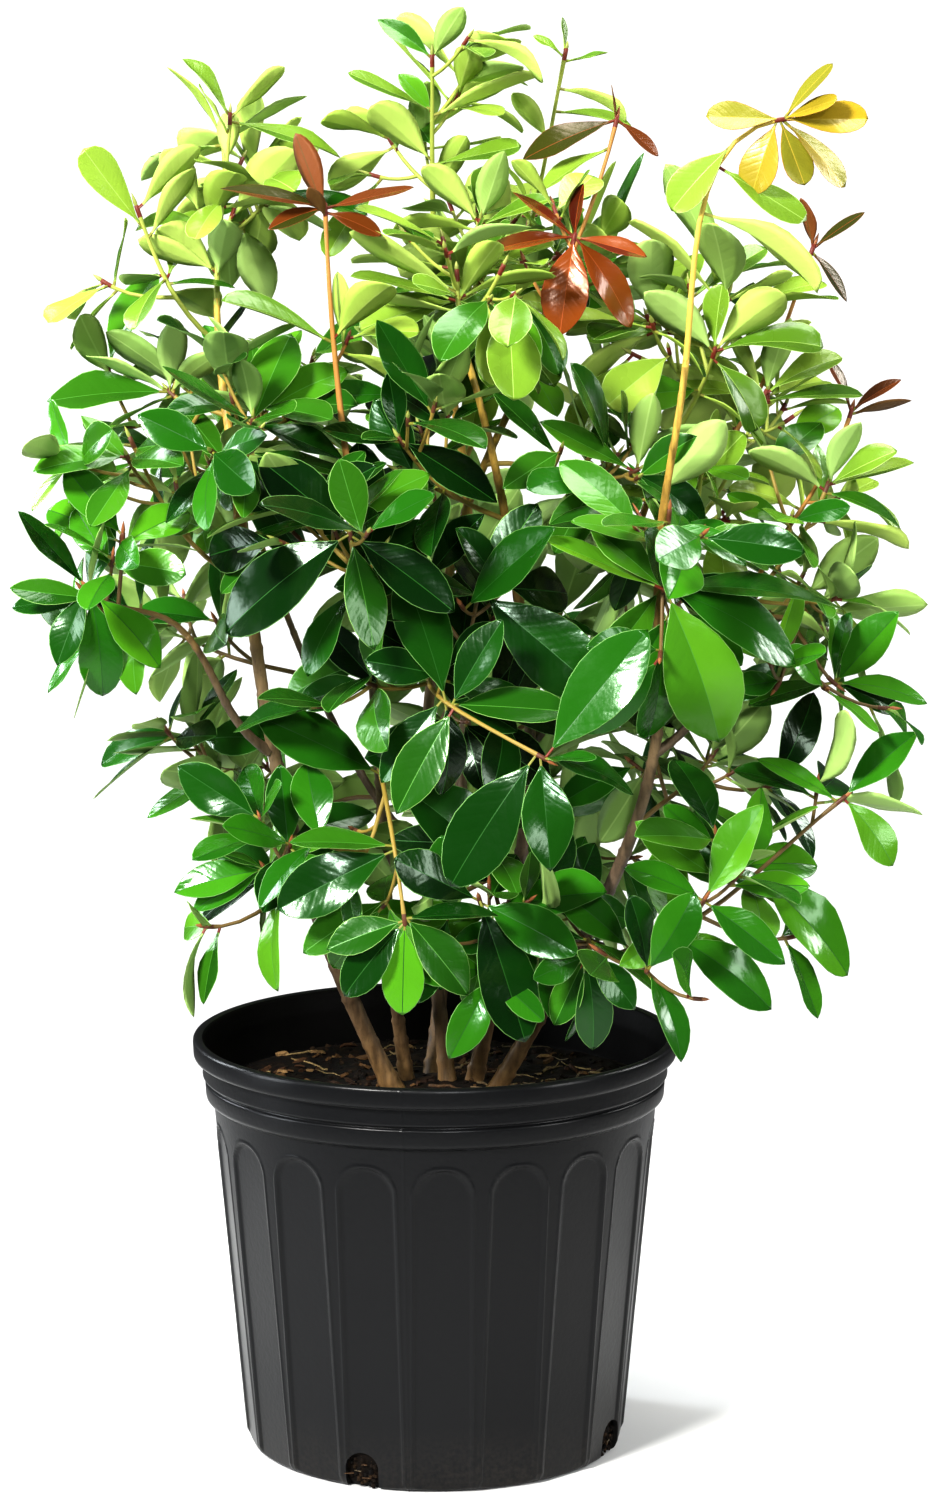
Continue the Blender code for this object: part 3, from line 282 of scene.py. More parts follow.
BOUGHS = [
    Limb("bough_left", "stem_left", 0.62, (-0.137, -0.066, 0.482), (0.0026, 0.0019),
         (-0.9, -0.3, 0.7), (-0.6, -0.2, 0.8)),
    Limb("bough_high_left", "stem_left", 1.0, (-0.122, -0.006, 0.665), (0.0030, 0.0018),
         None, (0.0, 0.02, 1)),
    Limb("bough_red_bud", "stem_right_inner", 1.0, (0.018, -0.092, 0.640), (0.0026, 0.0018),
         None, (-0.3, 0.0, 1)),
    Limb("bough_red", "stem_centre", 1.0, (0.058, -0.060, 0.650), (0.0025, 0.0017),
         None, (0.3, 0.0, 1)),
    Limb("bough_gold", "stem_right", 1.0, (0.136, -0.130, 0.640), (0.0026, 0.0018),
         None, (0.10, 0.0, 1)),
    Limb("bough_right_low", "stem_right", 0.34, (0.104, -0.088, 0.306), (0.0023, 0.0017),
         (0.9, -0.8, 0.1), (0.8, -0.8, 0.4)),
    Limb("bough_far_right", "stem_right", 0.76, (0.184, -0.055, 0.488), (0.0025, 0.0018),
         (0.9, 0.3, 0.5), (0.9, 0.1, 0.7)),
    Limb("bough_high_right", "stem_right_inner", 0.72, (0.138, 0.000, 0.590), (0.0027, 0.0018),
         (0.8, 0.5, 0.8), (0.5, 0.0, 1)),
    Limb("bough_top", "stem_back", 1.0, (0.000, 0.036, 0.690), (0.0028, 0.0018),
         None, (-0.05, -0.3, 1)),
    Limb("bough_back_left", "stem_back", 0.36, (-0.096, 0.104, 0.490), (0.0026, 0.0018),
         (-0.8, 0.3, 0.8), (-0.4, 0.1, 1)),
]

MASSES = [
    Mass("leaves_left_low", "stem_left", 0.36, (-0.096, -0.050, 0.348), leaf=0.060, crown=3, shown=(
        (1.0, 205, 5, 0.048, 40), (0.97, 186, 10, 0.054, 45), (0.94, 158, 0, 0.036, 20))),
    Mass("leaves_left_shelf", "stem_left", 0.48, (-0.142, 0.022, 0.412), leaf=0.060),
    Mass("leaves_far_left", "bough_left", 1.0, (-0.190, -0.100, 0.514), leaf=0.056, crown=1, shown=(
        (1.0, 130, 0, 0.057, 20), (0.98, -115, 10, 0.046, 40), (0.95, -78, 10, 0.064, 60),
        (0.90, -38, 15, 0.055, 45), (0.85, 175, 0, 0.050, 25))),
    Mass("leaves_left_crown", "stem_left", 0.90, (-0.168, -0.060, 0.592), "mid", leaf=0.060),
    Mass("leaves_left_front", "bough_high_left", 0.10, (-0.098, -0.098, 0.606), "mid", leaf=0.060,
         crown=2, shown=(
        (1.0, 95, 5, 0.038, -60), (0.97, 150, 5, 0.058, 25), (0.95, -20, 5, 0.060, 30))),
    Mass("leaves_left_high", "bough_high_left", 0.45, (-0.150, -0.010, 0.614), "mid", leaf=0.060,
         crown=2, shown=(
        (1.0, 178, 5, 0.070, 35), (0.98, 86, 5, 0.044, -65), (0.96, 150, 5, 0.052, -30),
        (0.95, 48, 10, 0.042, -45), (0.93, -50, 15, 0.046, 50))),
    Mass("leaves_far_left_tip", "bough_high_left", 0.80, (-0.166, -0.016, 0.717), "lime", leaf=0.050,
         crown=0, twigs=1, shown=(
        (1.0, 42, 0, 0.050, -35), (0.86, 129, 0, 0.056, 30), (0.80, 54, 5, 0.048, -40))),
    Mass("leaves_left_top", "bough_high_left", 1.0, (-0.114, 0.000, 0.768), "lime", leaf=0.052,
         crown=0, twigs=1, shown=(
        (1.0, 122, 0, 0.042, 25), (0.98, 40, 0, 0.042, -25), (0.96, -9, 5, 0.066, 25),
        (0.90, 108, 5, 0.046, 30), (0.74, 84, 5, 0.040, -70), (0.14, 160, 5, 0.048, -45),
        (0.12, 134, 0, 0.044, -60), (0.10, 78, 0, 0.050, -60))),
    Mass("leaves_bronze", "stem_left_inner", 1.0, (-0.058, -0.100, 0.722), "bronze", leaf=0.050,
         crown=0, lower=0, twigs=0, aim=(-0.03, 0, 1), shown=(
        (1.0, 168, 5, 0.058, 20), (0.99, 190, 15, 0.034, 30), (0.99, 14, 5, 0.050, 20),
        (0.98, -14, 15, 0.034, 30), (0.98, 110, -10, 0.046, -50), (0.97, 138, 0, 0.030, -20),
        (0.64, 52, 15, 0.052, -60), (0.63, 152, 10, 0.066, 18))),
    Mass("leaves_front_left", "stem_left_inner", 0.92, (-0.044, -0.150, 0.550), "mid", leaf=0.068,
         crown=1, shown=(
        (1.0, -150, 10, 0.090, 60), (0.97, -32, 12, 0.070, 55), (0.95, -75, 15, 0.062, 50))),
    Mass("leaves_front_low_left", "stem_left_inner", 0.64, (-0.015, -0.150, 0.335), leaf=0.060,
         crown=0, lower=0, twigs=1, leave=(0.05, -1, 0.1), aim=(0.12, -0.1, -1), shown=(
        (1.0, -92, 10, 0.052, 75), (0.99, -135, 10, 0.054, 60), (0.98, 196, 5, 0.046, 50),
        (0.97, 8, 5, 0.052, 25), (0.96, -47, 5, 0.058, 60), (0.66, 204, 10, 0.072, 55),
        (0.64, 174, 0, 0.058, 30), (0.12, 150, 10, 0.078, 55), (0.14, -27, 5, 0.094, 45))),
    Mass("leaves_front_twig", "stem_centre", 0.82, (0.061, -0.198, 0.434), leaf=0.068, crown=1, twigs=1,
         leave=(-0.1, -1, -0.1), aim=(1, -0.3, -0.5), shown=(
        (1.0, 52, 0, 0.088, 60), (0.99, -2, 10, 0.054, 30), (0.98, -84, 15, 0.062, 70),
        (0.97, -127, 5, 0.086, 55), (0.62, -122, 15, 0.066, 65), (0.60, 63, 10, 0.056, 65),
        (0.58, 0, 10, 0.068, 35), (0.56, 120, 5, 0.086, 25))),
    Mass("leaves_front_low", "stem_right_inner", 0.36, (0.025, -0.132, 0.347), leaf=0.064,
         crown=1, shown=(
        (1.0, -70, 12, 0.084, 70), (0.97, 150, 20, 0.058, 50), (0.95, -22, 20, 0.062, 60))),
    Mass("leaves_right_drip", "bough_right_low", 0.55, (0.083, -0.128, 0.312), leaf=0.056, crown=1, lower=2,
         twigs=1, aim=(-0.3, -0.6, -0.6), shown=(
        (1.0, -78, 5, 0.058, 60), (0.98, -104, 5, 0.046, 60), (0.96, -40, 5, 0.044, 55))),
    Mass("leaves_centre_front", "stem_centre", 0.66, (0.025, -0.118, 0.515), leaf=0.070, crown=2, shown=(
        (1.0, -38, 8, 0.090, 65), (0.97, 195, 5, 0.058, 50))),
    Mass("leaves_gold_foot", "bough_gold", 0.14, (0.125, -0.146, 0.519), leaf=0.066, crown=0, shown=(
        (1.0, -64, 10, 0.098, 72), (0.99, -15, 5, 0.088, 45), (0.97, 7, 0, 0.100, 20),
        (0.95, 156, 5, 0.072, 18), (0.93, 136, 0, 0.054, 40))),
    Mass("leaves_gold", "bough_gold", 1.0, (0.188, -0.130, 0.768), "gold", leaf=0.050,
         crown=0, lower=0, twigs=0, aim=(1, 0, 0.1), shown=(
        (1.0, 176, 10, 0.042, 45), (0.99, 52, 0, 0.040, 20), (1.0, 27, 30, 0.034, 35),
        (1.0, 1, 10, 0.046, 50), (0.99, -40, 0, 0.050, 25), (0.98, -68, 15, 0.038, 45),
        (0.97, -114, 15, 0.042, 50), (0.76, 221, 10, 0.048, 60), (0.66, -31, 8, 0.056, 30),
        (0.48, -9, 0, 0.080, -25))),
    Mass("leaves_red_bud", "bough_red_bud", 1.0, (0.013, -0.090, 0.686), "lime", leaf=0.054,
         crown=0, lower=1, twigs=1, shown=(
        (0.74, 150, 0, 0.068, -30), (0.70, 124, 8, 0.044, 30), (0.68, 27, 0, 0.056, -22),
        (0.64, 62, 12, 0.044, -60))),
    Mass("leaves_red", "bough_red", 1.0, (0.078, -0.060, 0.704), "red", leaf=0.050,
         crown=0, lower=0, twigs=0, shown=(
        (1.0, 181, 10, 0.054, 20), (0.99, -100, 20, 0.056, 70), (0.98, -48, 10, 0.060, 35),
        (0.97, -12, 0, 0.042, 20), (0.98, 144, 0, 0.042, 20), (1.0, 88, 0, 0.030, 30))),
    Mass("leaves_centre_high", "bough_top", 0.70, (0.026, -0.020, 0.710), "lime", leaf=0.054,
         crown=1, shown=(
        (1.0, 72, 0, 0.042, -65), (0.98, 130, 0, 0.046, -60), (0.96, 28, 0, 0.044, 25),
        (0.94, 168, 5, 0.050, -20))),
    Mass("leaves_top", "bough_top", 1.0, (-0.001, 0.006, 0.800), "lime", leaf=0.052, crown=0, lower=1,
         twigs=1, shown=(
        (1.0, 138, 0, 0.038, 35), (0.99, 62, 0, 0.034, -65), (0.74, 157, 0, 0.052, 15),
        (0.72, 98, 10, 0.034, 65), (0.71, 21, 0, 0.064, -25), (0.46, 126, 10, 0.052, -60),
        (0.44, 12, 0, 0.052, 12), (0.26, 76, 10, 0.044, -60))),
    Mass("leaves_top_right", "bough_top", 0.55, (0.075, 0.050, 0.803), "lime", leaf=0.046, crown=0, lower=2,
         twigs=1, shown=(
        (1.0, 94, 0, 0.020, 20), (0.98, 138, 0, 0.022, 10), (0.97, 8, 0, 0.026, 10),
        (0.90, -8, 5, 0.046, -30), (0.84, 11, 0, 0.058, 8), (0.76, 124, 8, 0.036, -60))),
    Mass("leaves_dusky_tip", "bough_red", 0.80, (0.103, 0.010, 0.766), "bronze", leaf=0.044, crown=0,
         lower=0, twigs=0, shown=(
        (0.99, 197, 5, 0.058, 25), (1.0, -38, 0, 0.032, 20), (0.90, 206, 5, 0.046, 20),
        (1.0, 98, 0, 0.020, 10))),
    Mass("leaves_right_high", "bough_high_right", 0.80, (0.216, 0.030, 0.693), "bronze", leaf=0.040,
         crown=0, lower=0, twigs=0, shown=(
        (1.0, 98, 0, 0.030, -40), (0.99, 38, 0, 0.036, 20), (0.98, -48, 0, 0.036, 25),
        (0.50, 160, 5, 0.050, 25))),
    Mass("leaves_right_red_node", "bough_high_right", 1.0, (0.157, -0.030, 0.639), "lime", leaf=0.056,
         crown=0, shown=(
        (1.0, 88, 5, 0.038, 50), (0.98, 47, 0, 0.052, -60), (0.97, 24, 0, 0.064, 12),
        (0.96, 130, 5, 0.056, -50), (0.90, -42, 10, 0.050, 35))),
    Mass("leaves_far_right_high", "bough_far_right", 0.84, (0.238, 0.020, 0.601), "bronze", leaf=0.040,
         crown=0, lower=0, twigs=0, shown=(
        (1.0, 108, 0, 0.036, 20), (0.99, 40, 0, 0.034, 15), (0.98, 14, 0, 0.036, -30),
        (0.60, 150, 5, 0.044, 25))),
    Mass("leaves_right_lime", "bough_high_right", 0.58, (0.188, 0.000, 0.613), "lime", leaf=0.052,
         crown=0, shown=(
        (1.0, 78, 0, 0.046, -62), (0.98, 38, 0, 0.050, 30), (0.97, 118, 0, 0.044, -30),
        (0.95, 10, 0, 0.058, 5))),
    Mass("leaves_right_shoulder", "bough_far_right", 0.70, (0.222, -0.020, 0.563), "mid", leaf=0.058,
         crown=1, shown=(
        (1.0, 72, 0, 0.042, -60), (0.98, 40, 0, 0.046, 40), (0.96, 142, 5, 0.052, -30),
        (0.95, -8, 5, 0.050, 25))),
    Mass("leaves_far_right", "bough_far_right", 1.0, (0.226, -0.045, 0.451), leaf=0.056, crown=1,
         aim=(0.8, 0, -0.6), shown=(
        (1.0, 88, 5, 0.042, 45), (0.99, 50, 10, 0.056, 60), (0.97, 2, 0, 0.056, 20),
        (0.96, 188, 5, 0.050, 20))),
    Mass("leaves_right_shelf", "stem_right", 0.60, (0.160, -0.026, 0.412), leaf=0.064),
    Mass("leaves_right_reach", "bough_right_low", 0.80, (0.228, -0.092, 0.396), leaf=0.058, crown=0, twigs=1,
         leave=(1, 0.3, 0.2), aim=(1, 0, 0.8), shown=(
        (1.0, 47, 0, 0.056, 50), (0.99, -43, 5, 0.050, 45), (0.97, 142, 0, 0.052, 30),
        (0.60, -38, 8, 0.082, 50))),
    Mass("leaves_right_low", "bough_right_low", 1.0, (0.148, -0.142, 0.348), leaf=0.062,
         crown=0, shown=(
        (1.0, 145, 5, 0.048, 40), (1.0, 59, 5, 0.064, 55), (0.99, -33, 5, 0.058, 50),
        (0.55, -26, 12, 0.074, 55), (0.10, 133, 5, 0.056, 55))),
    Mass("leaves_inner_left", "bough_red_bud", 0.30, (-0.019, -0.100, 0.596), "mid", leaf=0.062,
         crown=1, shown=(
        (1.0, 98, 8, 0.038, 70), (0.98, -30, 8, 0.064, 55), (0.96, 152, 5, 0.052, 30))),
    Mass("leaves_inner_right", "bough_red", 0.42, (0.113, -0.085, 0.577), "mid", leaf=0.062, crown=2, shown=(
        (1.0, 80, 0, 0.044, -62), (0.97, 152, 5, 0.060, 20), (0.95, -22, 5, 0.054, 45))),
    Mass("leaves_back_low_left", "bough_back_left", 0.30, (-0.100, 0.130, 0.352), leaf=0.064),
    Mass("leaves_back_low", "stem_back", 0.42, (0.030, 0.176, 0.362), leaf=0.066),
    Mass("leaves_back_low_right", "stem_back", 0.34, (0.124, 0.112, 0.372), leaf=0.064),
    Mass("leaves_back_left", "bough_back_left", 0.72, (-0.164, 0.120, 0.470), leaf=0.062),
    Mass("leaves_back_left_high", "bough_back_left", 1.0, (-0.108, 0.124, 0.610), "mid", leaf=0.060),
    Mass("leaves_back", "stem_back", 0.84, (0.006, 0.190, 0.520), leaf=0.064),
    Mass("leaves_back_right", "stem_back", 0.62, (0.150, 0.130, 0.510), leaf=0.064),
    Mass("leaves_back_top", "bough_top", 0.30, (0.050, 0.134, 0.668), "mid", leaf=0.058),
]


def even_shares(steps):
    return [step / steps for step in range(steps + 1)]


def square_shares(steps):
    """Shares of a run's length with a short step at each end, so that its ends are square."""
    inner = [END_SHARE + (1 - 2 * END_SHARE) * share for share in even_shares(steps - 2)]
    return [0.0, *inner, 1.0]


class Run:
    """A smooth tapering run from one place and heading to another."""

    def __init__(self, start, leave, end, aim, radii, shares):
        handle = (end - start).length * CURVE_HANDLE
        self.controls = (start, start + leave * handle, end - aim * handle, end)
        self.radii = radii
        self.points = [self.place(share) for share in shares]
        self.widths = [self.radius(share) for share in shares]

    def place(self, t):
        a, b, c, d = self.controls
        u = 1 - t
        return a * u**3 + b * (3 * u * u * t) + c * (3 * u * t * t) + d * t**3

    def heading(self, t):
        a, b, c, d = self.controls
        u = 1 - t
        slope = (b - a) * (u * u) + (c - b) * (2 * u * t) + (d - c) * (t * t)
        return slope.normalized()

    def radius(self, t):
        return self.radii[0] + (self.radii[1] - self.radii[0]) * t

    def length(self):
        return sum((b - a).length for a, b in zip(self.points, self.points[1:]))


def around(heading, turn):
    """The direction square to a heading at a turn about it."""
    side = (EAST - heading * heading.x).normalized()
    return side * math.cos(turn) + heading.cross(side) * math.sin(turn)


def twig_from(run, t, turn, bearing, length, radii):
    """A twig that leaves a run at a turn about it."""
    onward, rise, lift = bearing
    heading = run.heading(t)
    leave = (heading * onward + around(heading, turn)).normalized()
    end = run.place(t) + (leave + UP * rise).normalized() * length
    return Run(run.place(t), leave, end, (leave + UP * lift).normalized(), radii, even_shares(TWIG_STEPS))


def start_on(parent, along, leave, radius):
    """Where a run leaves its parent: a gap beyond its tip, or a gap clear of its bark."""
    heading = parent.heading(along)
    if along >= 1:
        return parent.place(1) + heading * GAP, heading
    leave = leave.normalized()
    side = leave.orthogonal().normalized() * radius
    turns = [Matrix.Rotation(math.tau * turn / CAP_CORNERS, 3, leave) for turn in range(CAP_CORNERS)]
    ring = [turn @ side for turn in turns]
    start = parent.place(along) + leave * 4 * parent.radius(along)
    while min(parent.bark.find_nearest(start + corner)[3] for corner in ring) > GAP:
        start = start - leave * START_STEP
    return start, leave


def run_from(parent, along, tip, radii, leave, aim, shares):
    """The run that grows from a parent to a tip."""
    tip = Vector(tip)
    towards = (tip - parent.place(along)).normalized()
    if leave is None:
        side = towards - parent.heading(along) * towards.dot(parent.heading(along))
        leave = side.normalized() + parent.heading(along) * START_LEAN
    start, leave = start_on(parent, along, Vector(leave), radii[0])
    aim = Vector(aim).normalized() if aim else (towards + UP * TIP_LIFT).normalized()
    return Run(start, leave, tip, aim, radii, shares)


def stem_run(stem):
    foot = Vector((*STEM_FEET[stem.name], SOIL_TOP + GAP))
    return Run(foot, Vector(stem.leave).normalized(), Vector(stem.tip), Vector(stem.aim).normalized(),
               stem.radii, square_shares(STEM_STEPS))


# What a new twig or leaf must stay clear of

class Surroundings:
    """Shapes already placed, each with the mass that owns it."""

    def __init__(self):
        self.trees = []
        self.owners = {}
        self.room = FIRST_ROOM
        self.lows = np.empty((self.room, 3))
        self.highs = np.empty((self.room, 3))
        self.owned = np.empty(self.room, int)

    def owner_number(self, owner):
        return self.owners.setdefault(owner, len(self.owners))

    def add(self, points, faces, owner):
        count = len(self.trees)
        if count == self.room:
            self.room *= 2
            self.lows = np.resize(self.lows, (self.room, 3))
            self.highs = np.resize(self.highs, (self.room, 3))
            self.owned = np.resize(self.owned, self.room)
        self.lows[count] = np.min(points, axis=0)
        self.highs[count] = np.max(points, axis=0)
        self.owned[count] = self.owner_number(owner)
        self.trees.append(BVHTree.FromPolygons(points, faces))

    def touched(self, points, faces, owner, own):
        """Whether a shape touches one of its own mass (own) or of the others."""
        count = len(self.trees)
        low = np.min(points, axis=0)
        high = np.max(points, axis=0)
        near = np.all((self.highs[:count] >= low) & (self.lows[:count] <= high), axis=1)
        near &= (self.owned[:count] == self.owner_number(owner)) == own
        tree = None
        for index in np.nonzero(near)[0]:
            tree = tree or BVHTree.FromPolygons(points, faces)
            if tree.overlap(self.trees[index]):
                return True
        return False


def guard_tube(run, first=0.0):
    """A tube round a run, its clearance included, from a share of its length."""
    steps = max(3, len(run.points) - 1)
    points = []
    faces = []
    for step in range(steps + 1):
        t = first + (1 - first) * step / steps
        heading = run.heading(t)
        side = heading.orthogonal().normalized()
        across = heading.cross(side)
        radius = (run.radius(t) + CLEARANCE) / math.cos(math.pi / GUARD_SIDES)
        for corner in range(GUARD_SIDES):
            angle = math.tau * corner / GUARD_SIDES
            points.append(run.place(t) + (side * math.cos(angle) + across * math.sin(angle)) * radius)
    for step in range(steps):
        for corner in range(GUARD_SIDES):
            a = GUARD_SIDES * step + corner
            b = GUARD_SIDES * step + (corner + 1) % GUARD_SIDES
            faces.append((a, b, b + GUARD_SIDES, a + GUARD_SIDES))
    return points, faces


# Leaves

@dataclass
class Leaf:
    root: Vector
    along: Vector
    up: Vector
    length: float
    width: float


LEAF_FACES = [(0, 3, 2), (2, 3, 4), (0, 2, 1), (0, 1, 3), (1, 2, 4), (1, 4, 3)]


def leaf_points(leaf, extra=0.0, first=0.0):
    """Root, keel, both widest places and tip of a blade, `extra` larger all round.

    With `first`, only the blade beyond that share of its length.
    """
    side = leaf.up.cross(leaf.along).normalized()
    keel = max(LEAF_KEEL, first + LEAF_KEEL / 2)
    widest = leaf.root + leaf.along * leaf.length * LEAF_WIDEST
    lift = leaf.up * (leaf.width * LEAF_LIFT + extra)
    edge = side * (leaf.width / 2 + extra)
    return [
        leaf.root + leaf.along * leaf.length * first + leaf.up * extra,
        leaf.root + leaf.along * leaf.length * keel - leaf.up * (leaf.length * LEAF_DEPTH + extra),
        widest - edge + lift,
        widest + edge + lift,
        leaf.root + leaf.along * (leaf.length + extra),
    ]


def make_leaf(run, t, along, up, length):
    """A leaf rooted on the axis of its twig."""
    along = along.normalized()
    up = (up - along * up.dot(along)).normalized()
    return Leaf(run.place(t) - along * LEAF_SINK, along, up, length, length * LEAF_WIDTH)


def ring_leaf(run, t, turn, spread, droop, roll, length):
    """A leaf that leaves its twig at a turn about it and a spread from its heading.

    Low leaves turn their upper sides outwards, and those of the high shoots upwards.
    """
    heading = run.heading(t)
    along = heading * math.cos(spread) + around(heading, turn) * math.sin(spread) - UP * droop
    along.normalize()
    place = run.place(t)
    outside = Vector((place.x, place.y, 0)).normalized()
    low, high = SHOOT_HEIGHTS
    shoot = min(1, max(0, (place.z - low) / (high - low)))
    light = UP * LIGHT_ABOVE + outside * LIGHT_OUTWARD * (1 - shoot) + heading * LIGHT_ALONG
    up = Matrix.Rotation(roll, 3, along) @ (light - along * light.dot(along))
    return make_leaf(run, t, along, up, length)


def shown_leaf(run, t, heading, lean, length, facing):
    """A leaf told by how it looks from the front: heading, lean towards it and facing."""
    heading, lean, facing = map(math.radians, (heading, lean, facing))
    along = Vector((math.cos(heading), 0, math.sin(heading))) * math.cos(lean) + FRONT * math.sin(lean)
    above = (UP - along * along.z).normalized()
    before = (FRONT - along * FRONT.dot(along)).normalized()
    return make_leaf(run, t, along, above * math.cos(facing) + before * math.sin(facing), length)


def view_guard(leaf):
    """Sheets before a leaf that is told apart: nothing that is seeded grows across them."""
    root, keel, left, right, tip = leaf_points(leaf)
    outline = [root, left, tip, right]
    middle = sum(outline, Vector()) / len(outline)
    inner = [middle + (point - middle) * VIEW_SHARE for point in outline]
    points = []
    for share in even_shares(VIEW_SHEETS - 1):
        away = FRONT * (VIEW_START + (VIEW_ROOM - VIEW_START) * share)
        points += [point + away for point in inner]
    sheets = [tuple(range(4 * sheet, 4 * sheet + 4)) for sheet in range(VIEW_SHEETS)]
    last = 4 * (VIEW_SHEETS - 1)
    walls = [(corner, (corner + 1) % 4, last + (corner + 1) % 4, last + corner) for corner in range(4)]
    return points, [*sheets, *walls, (0, 2, last + 2, last)]


class Grower:
    """What both stages of growth have: a mass, a seed and what is already round them."""

    def __init__(self, mass, seed, surroundings, views):
        self.mass = mass
        self.random = random.Random(seed)
        self.surroundings = surroundings
        self.views = views
        self.twigs = []
        self.leaves = []

    def meets(self, points, faces, own):
        """Whether a shape touches one of its own mass (own) or of the others."""
        return self.surroundings.touched(points, faces, self.mass.name, own)

    def hides_shown(self, points, faces):
        """Whether a shape stands before a leaf that is told apart from the front."""
        return self.views.touched(points, faces, self.mass.name, own=False)

    def take_place(self, points, faces):
        self.surroundings.add(points, faces, self.mass.name)


class Growth(Grower):
    """Grows one mass: its twigs and leaves, each kept only where there is room."""

    def __init__(self, mass, run, seed, surroundings, views):
        super().__init__(mass, seed, surroundings, views)
        self.run = run

    def in_room(self, points):
        for point in points:
            if any(point[i] < CROWN_LOW[i] or point[i] > CROWN_HIGH[i] for i in range(3)):
                return False
            if min((point - knot).length for knot in self.run.points) > MASS_ROOM:
                return False
        return True

    def has_room(self, leaf):
        whole = leaf_points(leaf, CLEARANCE)
        if not self.in_room(whole) or self.meets(whole, LEAF_FACES, own=False):
            return False
        return not self.meets(leaf_points(leaf, CLEARANCE, BLADE_START), LEAF_FACES, own=True)

    def keep(self, leaf):
        self.leaves.append(leaf)
        self.take_place(leaf_points(leaf), LEAF_FACES)

    def side_twig(self, index, turn):
        """The side twig of that number, at a turn about the mass's stem."""
        t = TWIG_SPACING * (1 + index) + self.random.uniform(-TWIG_JITTER, TWIG_JITTER)
        length = self.random.uniform(*TWIG_LENGTHS)
        return twig_from(self.run, t, turn, TWIG_BEARING, length, (SIDE_TWIG_RADIUS, TWIG_TIP_RADIUS))

    def twig_has_room(self, twig):
        points, faces = guard_tube(twig)
        if not self.in_room(points) or self.meets(points, faces, own=False):
            return False
        return not self.meets(*guard_tube(twig, TWIG_TEST_START), own=True)

    def side_twigs(self):
        """Twigs that leave the mass's stem by turns of the golden angle."""
        first_turn = self.random.uniform(0, math.tau)
        for index in range(self.mass.twigs):
            for attempt in range(TRIES):
                turns = TWIG_TURNS * index + attempt
                twig = self.side_twig(index, first_turn + turns * GOLDEN_ANGLE)
                if self.twig_has_room(twig):
                    self.twigs.append(twig)
                    self.take_place(*guard_tube(twig, TWIG_KEPT_START))
                    break

    def whorl(self, run, count, whorl):
        """Leaves that leave a twig close under one place, by turns of the golden angle."""
        turn = self.random.uniform(0, math.tau)
        spacing = WHORL_SPACING * LEAF_STEP / run.length()
        for index in range(count):
            t = max(END_SHARE, whorl.place - spacing * (index + 0.6))
            for attempt in range(TRIES):
                wobble = self.random.uniform(-1, 1) * (WOBBLE + WOBBLE_MORE * attempt)
                spread = math.radians(whorl.spread + WHORL_OPENING * index)
                size = self.mass.leaf * whorl.size
                leaf = ring_leaf(
                    run, t,
                    turn + index * GOLDEN_ANGLE + wobble,
                    spread + self.random.uniform(*SPREAD_RANGE),
                    whorl.droop + self.random.uniform(*DROOP_RANGE),
                    self.random.uniform(*ROLL_RANGE),
                    size * self.random.uniform(*SIZE_RANGE) * (1 - SIZE_LESS * attempt),
                )
                if self.has_room(leaf) and not self.hides_shown(leaf_points(leaf), LEAF_FACES):
                    self.keep(leaf)
                    break

    def shown_leaves(self):
        """The leaves that are told apart from the front."""
        last = 1 - LEAF_STEP / self.run.length()
        for t, heading, lean, length, facing in self.mass.shown:
            for attempt in range(TRIES):
                wobble = SHOWN_WOBBLE * attempt
                leaf = shown_leaf(
                    self.run, min(t, last),
                    heading + self.random.uniform(-wobble, wobble),
                    lean + self.random.uniform(-wobble, wobble),
                    length * (1 - SHOWN_LESS * attempt),
                    facing,
                )
                if self.has_room(leaf):
                    self.keep(leaf)
                    self.views.add(*view_guard(leaf), "view")
                    break

    def seeded_leaves(self):
        """Side twigs and the leaves of all whorls."""
        self.side_twigs()
        self.whorl(self.run, self.mass.crown, CROWN_WHORL)
        for twig in self.twigs:
            self.whorl(twig, TWIG_LEAVES, TWIG_WHORL)
        self.whorl(self.run, self.mass.lower, LOWER_WHORL)


# Finer twigs and leaves, grown on after the solids' own

# Twigs that each mass gets besides those of its solid, by tint, and leaves on each
FINE_TWIGS = {"dark": 7, "mid": 8, "lime": 10, "bronze": 1, "red": 2, "gold": 0}

# The share of them where the crown is loose and the sky shows through, or where it is fuller
OPEN_SHARES = {
    "leaves_left_low": 0.4, "leaves_left_shelf": 0.15, "leaves_far_left": 0.4,
    "leaves_left_crown": 0.45, "leaves_back_left": 0.3, "leaves_back_low_left": 0.3,
    "leaves_far_right": 0.5, "leaves_right_reach": 0.3, "leaves_right_low": 0.5,
    "leaves_right_drip": 0.5, "leaves_front_low_left": 0.5, "leaves_front_twig": 0.4,
    "leaves_right_shelf": 0.5, "leaves_top_right": 0.4, "leaves_top": 0.5,
    "leaves_far_left_tip": 0.1, "leaves_left_top": 0.9,
    "leaves_inner_right": 1.5, "leaves_back_top": 1.6,
}
FINE_LEAVES = 4
FINE_TWIG_LENGTHS = (0.018, 0.044)
FINE_TWIG_RADII = (0.0011, TWIG_TIP_RADIUS * 0.9)
FINE_SIZES = (0.76, 1.08)
LIME_SIZE = 1.20

# How low a spray's added leaves may hang where they would reach past the pot's rim
SPRAY_FLOORS = {"leaves_right_low": 0.290}

